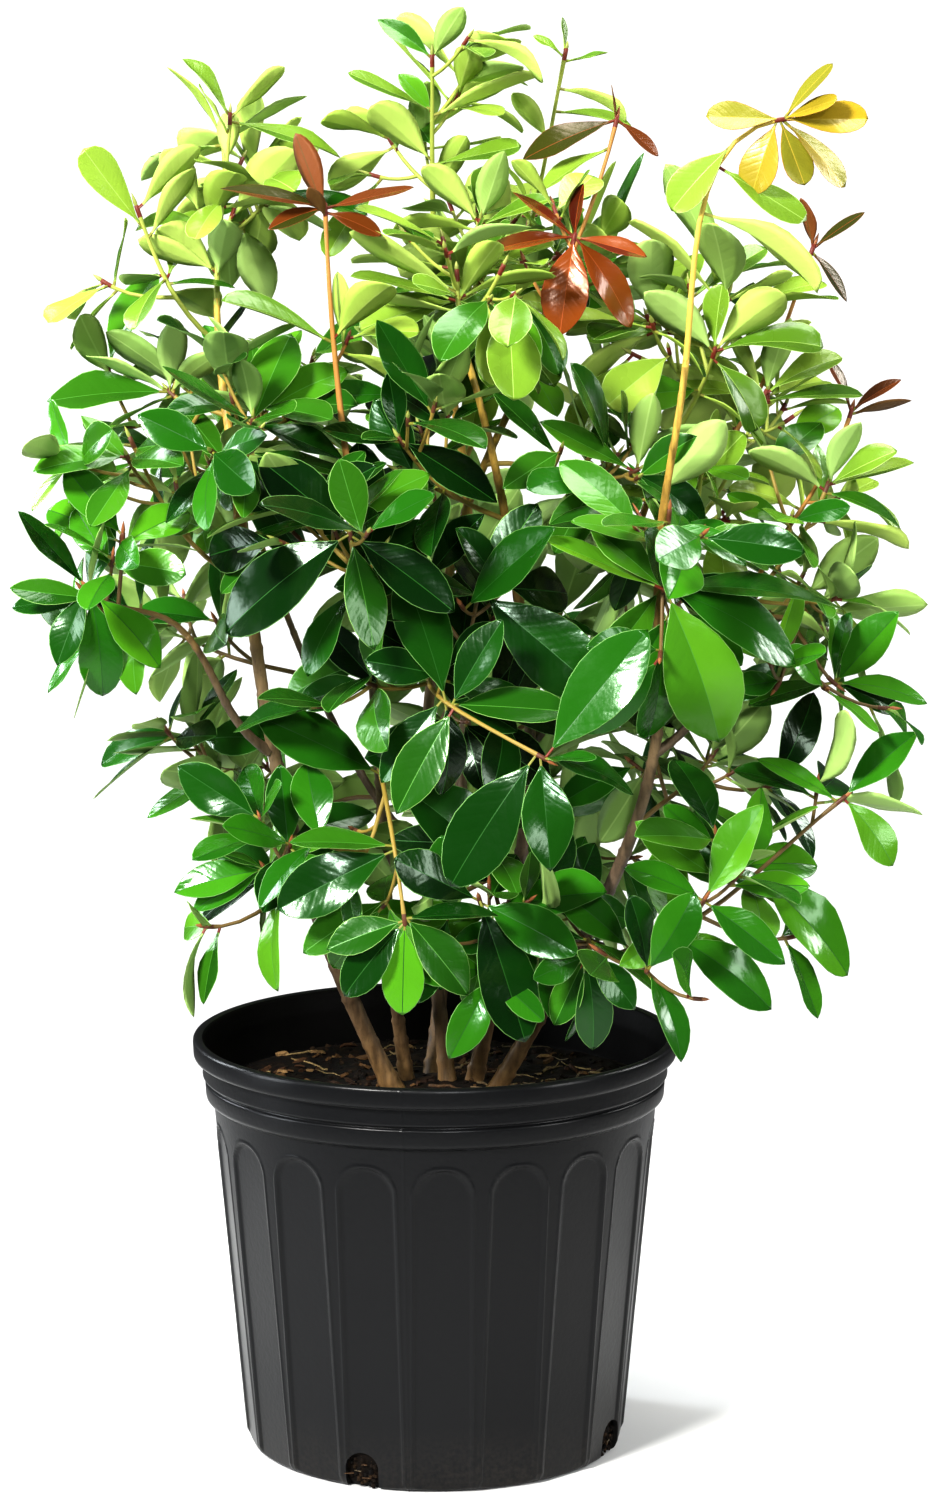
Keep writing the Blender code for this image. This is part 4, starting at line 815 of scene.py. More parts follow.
# A fine twig's own whorl: its spread in degrees, what each further leaf adds, and its ranges
FINE_SPREAD = 46
FINE_OPENING = 6
FINE_DROOP = 0.12
FINE_WOBBLE_RANGE = (-0.3, 0.3)
FINE_SPREAD_RANGE = (-0.25, 0.25)
FINE_DROOP_RANGE = (-0.10, 0.25)
FINE_ROLL_RANGE = (-0.6, 0.6)
FINE_SIZE_LESS = 0.04
FINE_TIP = 0.0012
FINE_SPACING = 0.0030
FINE_PLACES = (0.25, 0.92)
TIP_TINTS = ("bronze", "red", "gold")
NEXT_TINTS = {"dark": ("mid",), "mid": ("dark", "dark", "lime"), "lime": ("mid",)}
NEXT_SHARE = 0.22
TIP_WHORL = 0.012
TIP_EASE = 0.55

# How a leaf's shade follows from its place, as painted shade and light: darker within the crown, where shade
# falls, lighter outside and above, where light falls
CROWN_MIDDLE = Vector((0.02, 0.0, 0.40))
CROWN_REACH = Vector((0.24, 0.22, 0.42))
PAINTED_LIGHT_SHARE = 0.36
SHADE_POWER = 1.25
RED_PETIOLES = {"dark": 0.08, "mid": 0.20, "lime": 0.35, "bronze": 0.6, "red": 0.8, "gold": 0.1}

# Sprays that are darker or lighter than their tint's whole range (0 dark to 1 light), and
# sprays with another share of leaves in the neighbouring tint
SPRAY_SHADES = {
    "leaves_front_twig": (0.0, 0.70), "leaves_centre_front": (0.0, 0.55), "leaves_gold_foot": (0.15, 0.75),
    "leaves_inner_left": (0.0, 0.60), "leaves_inner_right": (0.0, 0.70), "leaves_left_front": (0.0, 0.70),
    "leaves_left_high": (0.0, 0.75), "leaves_left_shelf": (0.0, 0.60), "leaves_right_shelf": (0.0, 0.70),
    "leaves_front_left": (0.0, 0.60), "leaves_left_low": (0.15, 1.0), "leaves_right_low": (0.20, 1.0),
    "leaves_right_reach": (0.30, 1.0), "leaves_far_right": (0.20, 0.90),
}
SPRAY_MIXES = {
    "leaves_left_front": 0.55, "leaves_inner_left": 0.65, "leaves_inner_right": 0.45,
    "leaves_front_left": 0.50, "leaves_left_high": 0.40, "leaves_front_low_left": 0.30,
    "leaves_right_reach": 0.55, "leaves_right_low": 0.45, "leaves_left_low": 0.40,
    "leaves_front_low": 0.20, "leaves_left_shelf": 0.10, "leaves_centre_front": 0.05,
}


@dataclass
class Form:
    """How one leaf departs from flat (bend along, fold across, twist, ripple) and its outline."""
    bend: float
    fold: float
    twist: float
    ripple: float
    phase: float
    breadth: float
    base_power: float
    tip_power: float


@dataclass
class FineLeaf:
    leaf: Leaf
    form: Form
    tint: str
    # from dark to light, partly painted shade and light by the leaf's place in the crown
    shade: float
    # a step lighter or darker for the second half of the upper side: painted light and shade
    painted_half_shade: int
    petiole: str


ROUND_TINTS = ("lime", "gold")
BROAD_TINTS = {"gold": 1.18, "red": 1.12, "lime": 1.06}
OLD_TINTS = ("dark", "mid")
OLD_FOLDS = (5, 25)
YOUNG_FOLDS = (8, 34)
BENDS = (-0.10, 0.60)
HANG_BEND = 0.25
TWISTS = (-0.40, 0.40)
RIPPLES = (0.0, 0.12)
LEAST_BEND = 0.01
MARGIN_EASE = 0.45
RIPPLE_TURNS = 9
OTHER_HALF_PHASE = 1.7
FORM_TRIES = 14


def random_form(rng, leaf, tint, ease=1.0):
    """A form for a leaf: the lower it hangs, the more it curls under; young tips are rounder."""
    hang = HANG_BEND if leaf.along.z < 0 else 0.0
    if tint in TIP_TINTS:
        ease *= TIP_EASE
    return Form(
        bend=ease * (rng.uniform(*BENDS) + hang),
        fold=math.radians(rng.uniform(*(OLD_FOLDS if tint in OLD_TINTS else YOUNG_FOLDS))) * ease,
        twist=rng.uniform(*TWISTS) * ease,
        ripple=rng.uniform(*RIPPLES) * ease,
        phase=rng.uniform(0, math.tau),
        breadth=rng.uniform(*BREADTHS) * BROAD_TINTS.get(tint, 1.0),
        base_power=ROUND_BASE_POWER if tint in ROUND_TINTS else BASE_POWER,
        tip_power=rng.uniform(*(ROUND_TIP_POWERS if tint in ROUND_TINTS else TIP_POWERS)),
    )


def half_width(share, leaf, form):
    """Half the leaf's width at a share of its length: a thin stalk, then a blade."""
    width = leaf.length * BLADE_WIDTH * form.breadth
    u = min(1.0, max(0.0, (share - PETIOLE_SHARE) / (1 - PETIOLE_SHARE)))
    peak = form.base_power / (form.base_power + form.tip_power)
    most = peak ** form.base_power * (1 - peak) ** form.tip_power
    return max(PETIOLE_RADIUS, width / 2 * u ** form.base_power * (1 - u) ** form.tip_power / most)


def blade_frames(leaf, form, shares):
    """Centre, side and normal of the leaf at each share of its length."""
    shares = np.asarray(shares)
    along = np.array(leaf.along)
    up = np.array(leaf.up)
    side = np.cross(up, along)
    bend = form.bend if abs(form.bend) > LEAST_BEND else LEAST_BEND
    ahead = np.sin(bend * shares) / bend
    below = (1 - np.cos(bend * shares)) / bend
    centre = np.array(leaf.root) + leaf.length * (ahead[:, None] * along - below[:, None] * up)
    normal = up * np.cos(bend * shares)[:, None] + along * np.sin(bend * shares)[:, None]
    twist = (form.twist * shares)[:, None]
    turned_side = side * np.cos(twist) + normal * np.sin(twist)
    turned_normal = normal * np.cos(twist) - side * np.sin(twist)
    return centre, turned_side, turned_normal


def blade_height(form, across, half, share):
    """Height over the leaf's middle plane: folded up, eased at the margin, rippled."""
    out = abs(across) / half
    lift = abs(across) * math.tan(form.fold) * (1 - MARGIN_EASE * out)
    phase = RIPPLE_TURNS * share + form.phase + (OTHER_HALF_PHASE if across > 0 else 0)
    return lift + form.ripple * half * out * math.sin(phase)


PROXY_SHARES = (0.0, 0.34, 0.60, 0.86, 1.0)
PROXY_FACES = [(0, 1, 2), (0, 2, 3), (1, 4, 5, 2), (2, 5, 6, 3), (4, 7, 8, 5), (5, 8, 9, 6),
               (7, 10, 8), (8, 10, 9)]
BLADE_FACES = [(0, 3, 4, 1), (1, 4, 5, 2), (3, 6, 7, 4), (4, 7, 8, 5), (6, 9, 7), (7, 9, 8)]


def proxy_points(fine, extra=0.0):
    """A few-faced likeness of the bent leaf, to test its room with."""
    leaf, form = fine.leaf, fine.form
    centre, side, normal = blade_frames(leaf, form, PROXY_SHARES)
    points = [centre[0]]
    for index in (1, 2, 3):
        half = half_width(PROXY_SHARES[index], leaf, form)
        for across in (-half, 0.0, half):
            height = blade_height(form, across, half, PROXY_SHARES[index])
            points.append(centre[index] + side[index] * across * (1 + extra / half)
                          + normal[index] * height)
    points.append(centre[4])
    return [Vector(point) for point in points]


class FineGrowth(Grower):
    """Carries one mass on to finer twigs, each leaf kept only where there is room."""

    def __init__(self, growth, seed, surroundings, reach):
        super().__init__(growth.mass, seed, surroundings, growth.views)
        self.growth = growth
        self.reach = reach

    def fine_leaf(self, leaf, ease=1.0):
        """The leaf with a form, a shade and a tint: only a coloured tip's own whorl is coloured."""
        tint = self.mass.tint
        below_tip = (self.growth.run.place(1) - leaf.root).length
        if tint in TIP_TINTS and below_tip > TIP_WHORL:
            tint = "lime"
        elif self.random.random() < SPRAY_MIXES.get(self.mass.name, NEXT_SHARE):
            tint = self.random.choice(self.next_tints(tint))
        petiole = "red" if self.random.random() < RED_PETIOLES[tint] else "green"
        form = random_form(self.random, leaf, tint, ease)
        # Painted light and shade: the second half of the upper side may be a step lighter or darker, as of a
        # blade folded along its midrib
        painted_half_shade = self.random.choice((-1, 0, 0, 1))
        return FineLeaf(leaf, form, tint, self.shade(leaf), painted_half_shade, petiole)

    def next_tints(self, tint):
        """The tints that some leaves are dealt: a spray with its own mix takes the first alone."""
        tints = NEXT_TINTS.get(tint, (tint,))
        return tints[:1] if self.mass.name in SPRAY_MIXES else tints

    def shade(self, leaf):
        """From 0, dark, to 1, light: partly by the leaf's place in the crown (painted shade within it,
        painted light outside it), partly by chance.
        """
        middle = leaf.root + leaf.along * (leaf.length / 2) - CROWN_MIDDLE
        out = Vector(middle[i] / CROWN_REACH[i] for i in range(3)).length
        low, high = SPRAY_SHADES.get(self.mass.name, (0.0, 1.0))
        chance = self.random.random() ** SHADE_POWER
        return low + (high - low) * (PAINTED_LIGHT_SHARE * min(1.0, out) + (1 - PAINTED_LIGHT_SHARE) * chance)

    def carry_twigs_over(self):
        for twig in self.growth.twigs:
            self.take_place(*guard_tube(twig, TWIG_KEPT_START))

    def carry_leaves_over(self):
        """The solid's own leaves, each bent freely, or less so where it would meet another."""
        for leaf in self.growth.leaves:
            for attempt in range(FORM_TRIES):
                fine = self.fine_leaf(leaf, 1 - attempt / FORM_TRIES)
                if self.is_free(proxy_points(fine)):
                    break
            self.leaves.append(fine)
            self.take_place(proxy_points(fine), PROXY_FACES)

    def within_reach(self, points):
        """Whether points stay where the solids' own leaves reach."""
        low, high = self.reach
        floor = SPRAY_FLOORS.get(self.mass.name, low[2])
        for point in points:
            if point[2] < floor or any(point[i] < low[i] or point[i] > high[i] for i in range(3)):
                return False
        return self.growth.in_room(points)

    def is_free(self, points):
        """Whether a leaf touches neither another mass nor a blade of its own."""
        if self.meets(points[1:], BLADE_FACES, own=True):
            return False
        return not self.meets(points, PROXY_FACES, own=False)

    def has_room(self, fine):
        points = proxy_points(fine, CLEARANCE)
        if not self.within_reach(points) or self.hides_shown(points, PROXY_FACES):
            return False
        return self.is_free(points)

    def twig_has_room(self, twig):
        points, faces = guard_tube(twig)
        if not self.within_reach(points) or self.meets(points, faces, own=False):
            return False
        if self.hides_shown(points, faces):
            return False
        return not self.meets(*guard_tube(twig, FINE_TEST_START), own=True)

    def add_twig(self):
        """A fine twig on the mass's stem or on a side twig of it, if there is room."""
        for attempt in range(TRIES):
            source = self.random.choice([self.growth.run, self.growth.run, *self.growth.twigs])
            t = self.random.uniform(*FINE_PLACES)
            turn = self.random.uniform(0, math.tau)
            length = self.random.uniform(*FINE_TWIG_LENGTHS)
            twig = twig_from(source, t, turn, FINE_TWIG_BEARING, length, FINE_TWIG_RADII)
            if self.twig_has_room(twig):
                return twig
        return None

    def whorl(self, twig):
        """Leaves close under a fine twig's tip."""
        turn = self.random.uniform(0, math.tau)
        size = self.mass.leaf * (LIME_SIZE if self.mass.tint == "lime" else 1)
        kept = []
        for index in range(FINE_LEAVES):
            t = max(0.2, 1 - (FINE_TIP + FINE_SPACING * index) / twig.length())
            for attempt in range(TRIES):
                leaf = ring_leaf(
                    twig, t,
                    turn + index * GOLDEN_ANGLE + self.random.uniform(*FINE_WOBBLE_RANGE),
                    math.radians(FINE_SPREAD + FINE_OPENING * index)
                    + self.random.uniform(*FINE_SPREAD_RANGE),
                    FINE_DROOP + self.random.uniform(*FINE_DROOP_RANGE),
                    self.random.uniform(*FINE_ROLL_RANGE),
                    size * self.random.uniform(*FINE_SIZES) * (1 - FINE_SIZE_LESS * attempt),
                )
                fine = self.fine_leaf(leaf)
                if self.has_room(fine):
                    kept.append(fine)
                    self.take_place(proxy_points(fine), PROXY_FACES)
                    break
        return kept

    def grow(self):
        share = OPEN_SHARES.get(self.mass.name, 1.0)
        for index in range(round(FINE_TWIGS[self.mass.tint] * share)):
            twig = self.add_twig()
            if twig is None:
                continue
            leaves = self.whorl(twig)
            if leaves:
                self.twigs.append(twig)
                self.leaves += leaves
                self.take_place(*guard_tube(twig, FINE_KEPT_START))


# Objects and materials

def placed(name, data):
    """An object of the scene for a mesh, a light or a camera."""
    thing = bpy.data.objects.new(name, data)
    bpy.context.scene.collection.objects.link(thing)
    return thing


def shape_object(name, shape):
    """An object made from a bmesh, which it uses up."""
    mesh = bpy.data.meshes.new(name)
    shape.to_mesh(mesh)
    shape.free()
    return placed(name, mesh)


def feed(tree, node, inputs):
    """Gives a node's inputs, by name or number, plain values or the sockets that they link to."""
    for key, value in inputs.items():
        if isinstance(value, bpy.types.NodeSocket):
            tree.links.new(value, node.inputs[key])
        else:
            node.inputs[key].default_value = value


def new_node(tree, kind, inputs):
    node = tree.nodes.new("ShaderNode" + kind)
    feed(tree, node, inputs)
    return node


def new_material(name, colour, roughness, specular):
    """A material, its tree and its shader, with plain values on the shader's own sockets."""
    material = bpy.data.materials.new(name)
    material.use_nodes = True
    material.diffuse_color = (*colour, 1.0)
    tree = material.node_tree
    shader = tree.nodes["Principled BSDF"]
    feed(tree, shader, {"Base Color": (*colour, 1.0), "Roughness": roughness, "Specular IOR Level": specular})
    return material, tree, shader


def object_place(tree):
    """A point's place in its object's own coordinates."""
    return new_node(tree, "TexCoord", {}).outputs["Object"]


def object_height(tree):
    return new_node(tree, "SeparateXYZ", {"Vector": object_place(tree)}).outputs["Z"]


def object_noise(tree, scale, detail, stretch=(1, 1, 1)):
    """A noise texture over the object's own coordinates."""
    mapping = new_node(tree, "Mapping", {"Vector": object_place(tree), "Scale": stretch})
    place = mapping.outputs["Vector"]
    return new_node(tree, "TexNoise", {"Vector": place, "Scale": scale, "Detail": detail}).outputs["Fac"]


def ranged(tree, value, low, high, start=0.0, end=1.0, smooth=False):
    """Maps a value from one range to another, and holds it at the ends."""
    node = tree.nodes.new("ShaderNodeMapRange")
    if smooth:
        node.interpolation_type = "SMOOTHSTEP"
    feed(tree, node, {"Value": value, "From Min": start, "From Max": end, "To Min": low, "To Max": high})
    return node.outputs["Result"]


def colour_steps(tree, value, steps):
    """A colour ramp of (place, colour) pairs."""
    ramp = new_node(tree, "ValToRGB", {"Fac": value})
    elements = ramp.color_ramp.elements
    while len(elements) < len(steps):
        elements.new(0.5)
    for element, (place, colour) in zip(elements, steps):
        element.position = place
        element.color = (*colour, 1.0)
    return ramp.outputs["Color"]


def mixed(tree, blend, factor, first, second):
    """Two colours as one, each a socket or a plain colour."""
    node = tree.nodes.new("ShaderNodeMix")
    node.data_type = "RGBA"
    node.blend_type = blend
    feed(tree, node, {"Factor": factor, "A": first, "B": second})
    return node.outputs["Result"]


def calculated(tree, operation, *values, clamped=False):
    """A sum of numbers, each a socket or a plain value."""
    node = tree.nodes.new("ShaderNodeMath")
    node.operation = operation
    node.use_clamp = clamped
    feed(tree, node, dict(enumerate(values)))
    return node.outputs["Value"]


def bumped(tree, shader, height, strength, distance):
    bump = new_node(tree, "Bump", {"Height": height, "Strength": strength, "Distance": distance})
    feed(tree, shader, {"Normal": bump.outputs["Normal"]})


# Relief of a living skin: soft lumps, and on a blade the side veins that run out and forwards
# (each noise by its scale and detail)
GLOSS_PATCHES = (55.0, 3.0)
GLOSS_SPREAD = 0.07
SKIN_LUMPS = (95.0, 3.0)
SKIN_RELIEF = 0.30
SKIN_DEPTH = 0.0012
VEIN_PAIRS = 9.0
VEIN_LEAN = 1.7
VEIN_HALF_WIDTH = 0.28
VEIN_SHARE = 0.09
BLADE_PLACE = "blade_place"


def vein_relief(tree):
    """Low furrows along the side veins, by the place of a point on its own blade."""
    place = tree.nodes.new("ShaderNodeAttribute")
    place.attribute_name = BLADE_PLACE
    parts = new_node(tree, "SeparateXYZ", {"Vector": place.outputs["Vector"]})
    out = calculated(tree, "ABSOLUTE", parts.outputs["X"])
    ahead = calculated(tree, "MULTIPLY", parts.outputs["Y"], VEIN_PAIRS)
    behind = calculated(tree, "MULTIPLY", out, VEIN_LEAN)
    rise = calculated(tree, "PINGPONG", calculated(tree, "SUBTRACT", ahead, behind), 0.5)
    return ranged(tree, rise, 0.0, 1.0, 0.0, VEIN_HALF_WIDTH, smooth=True)


def leaf_material(name, colour, roughness, sheen=(1, 1, 1), spread=GLOSS_SPREAD, relief=SKIN_RELIEF,
                  veined=False):
    """A plain-coloured leaf skin whose gloss and relief vary as a living leaf's do."""
    material, tree, shader = new_material(name, colour, roughness, LEAF_SPECULAR)
    gloss = ranged(tree, object_noise(tree, *GLOSS_PATCHES), roughness - spread, roughness + spread)
    feed(tree, shader, {"Specular Tint": (*sheen, 1.0), "Roughness": gloss})
    height = object_noise(tree, *SKIN_LUMPS)
    if veined:
        furrows = calculated(tree, "MULTIPLY", vein_relief(tree), VEIN_SHARE)
        height = calculated(tree, "ADD", height, furrows)
    bumped(tree, shader, height, relief, SKIN_DEPTH)
    return material


# Plain leaf colours in linear RGB, by the tint of the spray: upper sides, undersides,
# midrib and margin, with the gloss of the upper side
LEAF_COLOURS = {
    "dark": {
        "top": [(0.0008, 0.008, 0.0008), (0.0018, 0.018, 0.0014), (0.0036, 0.034, 0.0022),
                (0.0074, 0.060, 0.0032), (0.0140, 0.098, 0.0045), (0.0260, 0.145, 0.0060),
                (0.0460, 0.205, 0.0080), (0.0800, 0.275, 0.0110)],
        "under": [(0.230, 0.370, 0.095), (0.330, 0.490, 0.150)],
        "rib": (0.014, 0.085, 0.008), "margin": (0.130, 0.280, 0.070),
        "gloss": 0.19, "sheen": (0.80, 1.0, 0.82),
    },
    "mid": {
        "top": [(0.006, 0.046, 0.003), (0.014, 0.082, 0.0045), (0.030, 0.130, 0.0065),
                (0.054, 0.190, 0.0090), (0.088, 0.260, 0.0125), (0.140, 0.340, 0.0180)],
        "under": [(0.290, 0.440, 0.110), (0.370, 0.530, 0.160)],
        "rib": (0.065, 0.220, 0.026), "margin": (0.230, 0.420, 0.110),
        "gloss": 0.22, "sheen": (0.82, 1.0, 0.80),
    },
    "lime": {
        "top": [(0.022, 0.080, 0.005), (0.048, 0.130, 0.008), (0.090, 0.195, 0.015),
                (0.150, 0.270, 0.024), (0.225, 0.355, 0.040), (0.320, 0.450, 0.068)],
        "under": [(0.330, 0.460, 0.078), (0.420, 0.550, 0.125)],
        "rib": (0.320, 0.480, 0.110), "margin": (0.420, 0.590, 0.180),
        "gloss": 0.27, "sheen": (0.90, 1.0, 0.78),
    },
    "bronze": {
        "top": [(0.066, 0.020, 0.004), (0.120, 0.032, 0.005), (0.036, 0.040, 0.005)],
        "under": [(0.170, 0.052, 0.012), (0.125, 0.060, 0.016)],
        "rib": (0.200, 0.050, 0.010), "margin": (0.190, 0.060, 0.016),
        "gloss": 0.25, "sheen": (1.0, 0.72, 0.56),
    },
    "red": {
        "top": [(0.062, 0.008, 0.003), (0.115, 0.018, 0.004), (0.220, 0.052, 0.007)],
        "under": [(0.260, 0.046, 0.008), (0.150, 0.040, 0.009)],
        "rib": (0.360, 0.080, 0.012), "margin": (0.280, 0.050, 0.013),
        "gloss": 0.21, "sheen": (1.0, 0.74, 0.60),
    },
    "gold": {
        "top": [(0.370, 0.260, 0.016), (0.320, 0.250, 0.020), (0.220, 0.215, 0.020)],
        "under": [(0.430, 0.315, 0.026), (0.330, 0.280, 0.026)],
        "rib": (0.460, 0.340, 0.040), "margin": (0.340, 0.170, 0.020),
        "gloss": 0.28, "sheen": (1.0, 0.92, 0.56),
    },
}
LEAF_SPECULAR = 0.37
UNDER_ROUGHNESS = 0.60
LINE_ROUGHNESS = {"rib": 0.40, "margin": 0.42}
PETIOLE_ROUGHNESS = 0.45
PETIOLE_COLOURS = {"green": (0.200, 0.200, 0.030), "red": (0.170, 0.028, 0.012)}


def leaf_materials(tint):
    """All skins of one tint, in the order that leaf faces count them."""
    colours = LEAF_COLOURS[tint]
    sheen = colours["sheen"]
    skins = []
    for side, gloss in (("top", colours["gloss"]), ("under", UNDER_ROUGHNESS)):
        for index, colour in enumerate(colours[side]):
            skins.append(leaf_material(f"{tint}_leaf_{side}_{index}", colour, gloss, sheen, veined=True))
    for line, gloss in LINE_ROUGHNESS.items():
        skins.append(leaf_material(f"{tint}_leaf_{line}", colours[line], gloss, sheen))
    for name, colour in PETIOLE_COLOURS.items():
        skins.append(leaf_material(f"{tint}_leaf_stalk_{name}", colour, PETIOLE_ROUGHNESS))
    return skins


# Joined meshes

class MeshSheaf:
    """Gathers points and faces of many small shapes, then makes one mesh of them."""

    def __init__(self):
        self.points = []
        self.faces = []
        self.skins = []
        self.places = []
        self.count = 0

    def add(self, points, faces, skins, places=()):
        """Points as rows, faces as lists of indices, a skin for each face (or one for all) and, on
        a blade, each point's place on it: how far out from the midrib, and how far along."""
        self.points.append(np.asarray(points, float))
        self.faces += [tuple(index + self.count for index in face) for face in faces]
        self.skins += [skins] * len(faces) if isinstance(skins, int) else skins
        self.places += places
        self.count += len(points)

    def object(self, name, materials, smooth=True):
        mesh = bpy.data.meshes.new(name)
        mesh.from_pydata(np.concatenate(self.points).tolist(), [], self.faces)
        mesh.polygons.foreach_set("material_index", self.skins)
        mesh.polygons.foreach_set("use_smooth", [smooth] * len(self.faces))
        for material in materials:
            mesh.materials.append(material)
        if self.places:
            blade_place = mesh.attributes.new(BLADE_PLACE, "FLOAT_VECTOR", "POINT")
            blade_place.data.foreach_set("vector", np.array(self.places).ravel())
        mesh.update()
        return placed(name, mesh)


def ring_faces(rings, width, first=0):
    """Quads between successive closed rings of points, facing outwards."""
    faces = []
    for ring in range(rings - 1):
        for corner in range(width):
            a = first + ring * width + corner
            b = first + ring * width + (corner + 1) % width
            faces.append((a, a + width, b + width, b))
    return faces


def tip_faces(rings, width):
    """Triangles from the last ring to the point that comes after it."""
    last = (rings - 1) * width
    return [(last + corner, last + width, last + (corner + 1) % width) for corner in range(width)]


# Skins round one ring of a leaf: margin, half the upper side, midrib, its other half, margin,
# underside. The second half may be a step lighter or darker than the first: painted light and shade, as of a
# blade folded along its midrib.
TOP, PAINTED_LIGHT_TOP, UNDER, RIB, UNDER_RIB, MARGIN = "top", "other top", "under", "rib", "keel", "margin"
STALK = "stalk"
RING_SKINS = (MARGIN, TOP, TOP, RIB, PAINTED_LIGHT_TOP, PAINTED_LIGHT_TOP, MARGIN,
              UNDER, UNDER, UNDER_RIB, UNDER, UNDER)
UNDER_START = 7

# Depths below a leaf's middle plane, and the crest and the midrib's furrow above it
STALK_BELLY = 0.0010
STALK_CREST = 0.0004
STALK_KEEL = 0.0012
BLADE_KEEL = 0.0007
RIB_SINK = 0.00008

# The most of a narrow place's half width that the margin and the midrib take up
MARGIN_SHARE = 0.3
RIB_SHARE = 0.25


def leaf_faces(rings):
    """Triangles between the rings of a leaf, cut the same way above and below the blade.

    The two sides of a thin, twisted blade would cross if each were cut its own way.
    """
    faces = []
    for number, (a, far_a, far_b, b) in enumerate(ring_faces(rings, RING_POINTS)):
        if number % RING_POINTS < UNDER_START:
            faces += [(a, far_a, far_b), (a, far_b, b)]
        else:
            faces += [(a, far_a, b), (far_a, far_b, b)]
    return faces


def leaf_ring(share, half):
    """The points of one ring, each by its way across the blade and its rise over it."""
    margin = min(MARGIN_WIDTH, MARGIN_SHARE * half)
    rib = min(MIDRIB_WIDTH, RIB_SHARE * half)
    under_rib = min(UNDER_RIB_WIDTH, MARGIN_SHARE * half)
    belly, crest, keel = BLADE_THICKNESS, 0.0, BLADE_THICKNESS + BLADE_KEEL * (1 - share)
    if share <= PETIOLE_SHARE:
        belly, crest, keel = STALK_BELLY, STALK_CREST, STALK_KEEL
    return [
        (-half, 0.0), (-half + margin, 0.0), (-half * 0.5, crest), (-rib, crest - RIB_SINK),
        (rib, crest - RIB_SINK), (half * 0.5, crest), (half - margin, 0.0), (half, 0.0),
        (half * 0.5, -belly), (under_rib, -keel), (-under_rib, -keel), (-half * 0.5, -belly),
    ]


def leaf_mesh(fine):
    """Points, faces, skins and places of a finished leaf: a closed, thin, bent blade on its stalk."""
    leaf, form = fine.leaf, fine.form
    centre, side, normal = blade_frames(leaf, form, (*LEAF_STATIONS, 1.0))
    points = []
    places = []
    for index, share in enumerate(LEAF_STATIONS):
        half = half_width(share, leaf, form)
        for across, rise in leaf_ring(share, half):
            height = blade_height(form, across, half, share) + rise
            points.append(centre[index] + side[index] * across + normal[index] * height)
            places.append((across / half, share, 0.0))
    points.append(centre[-1])
    places.append((0.0, 1.0, 0.0))
    rings = len(LEAF_STATIONS)
    faces = leaf_faces(rings) + tip_faces(rings, RING_POINTS)
    skins = []
    for far_share in LEAF_STATIONS[1:]:
        for skin in RING_SKINS:
            skins += [STALK if far_share <= PETIOLE_SHARE else skin] * 2
    return points, faces, [*skins, *RING_SKINS], places


def skin_numbers(fine, skins):
    """The material slot of each face of a leaf, by the leaf's shade, which is partly painted shade and light
    from its place, and by the painted light step of its second half.
    """
    colours = LEAF_COLOURS[fine.tint]
    tops = len(colours["top"])
    unders = len(colours["under"])
    first = min(tops - 1, int(fine.shade * tops))
    slots = {
        TOP: first,
        PAINTED_LIGHT_TOP: min(tops - 1, max(0, first + fine.painted_half_shade)),
        UNDER: tops + min(unders - 1, int(fine.shade * unders)),
        UNDER_RIB: tops + unders - 1,
        RIB: tops + unders,
        MARGIN: tops + unders + 1,
        STALK: tops + unders + 2 + list(PETIOLE_COLOURS).index(fine.petiole),
    }
    return [slots[skin] for skin in skins]


def leaf_groups(fine_growths, tint):
    """The leaves of one tint in groups that are small enough for one piece, with their masses."""
    groups = [([], [])]
    for growth in fine_growths:
        leaves = [fine for fine in growth.leaves if fine.tint == tint]
        if not leaves:
            continue
        if len(groups[-1][0]) + len(leaves) > PIECE_LEAVES:
            groups.append(([], []))
        groups[-1][0].extend(leaves)
        groups[-1][1].append(growth.mass.name)
    return groups


def build_leaves(fine_growths):
    """The leaves of each tint, joined into pieces of a few hundred leaves."""
    for tint in LEAF_COLOURS:
        materials = leaf_materials(tint)
        for number, (leaves, mass_names) in enumerate(leaf_groups(fine_growths, tint)):
            sheaf = MeshSheaf()
            for fine in leaves:
                points, faces, skins, places = leaf_mesh(fine)
                sheaf.add(points, faces, skin_numbers(fine, skins), places)
            piece = sheaf.object(f"foliage_{tint}_{number + 1}", materials)
            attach(piece, "root")
            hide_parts(*mass_names)


# Twigs and buds

TUBE_SIDE = Vector((0.31, 0.93, 0.2))


def tube_frame(heading):
    """Two directions square to a heading and to each other, the same all along a limb."""
    side = (TUBE_SIDE - heading * heading.dot(TUBE_SIDE)).normalized()
    return side, heading.cross(side)


def tube_points(places, headings, radii, sides):
    """Rings of points round a line of places."""
    points = []
    for place, heading, radius in zip(places, headings, radii):
        side, other = tube_frame(heading)
        for corner in range(sides):
            angle = -math.tau * corner / sides
            points.append(place + (side * math.cos(angle) + other * math.sin(angle)) * radius)
    return points


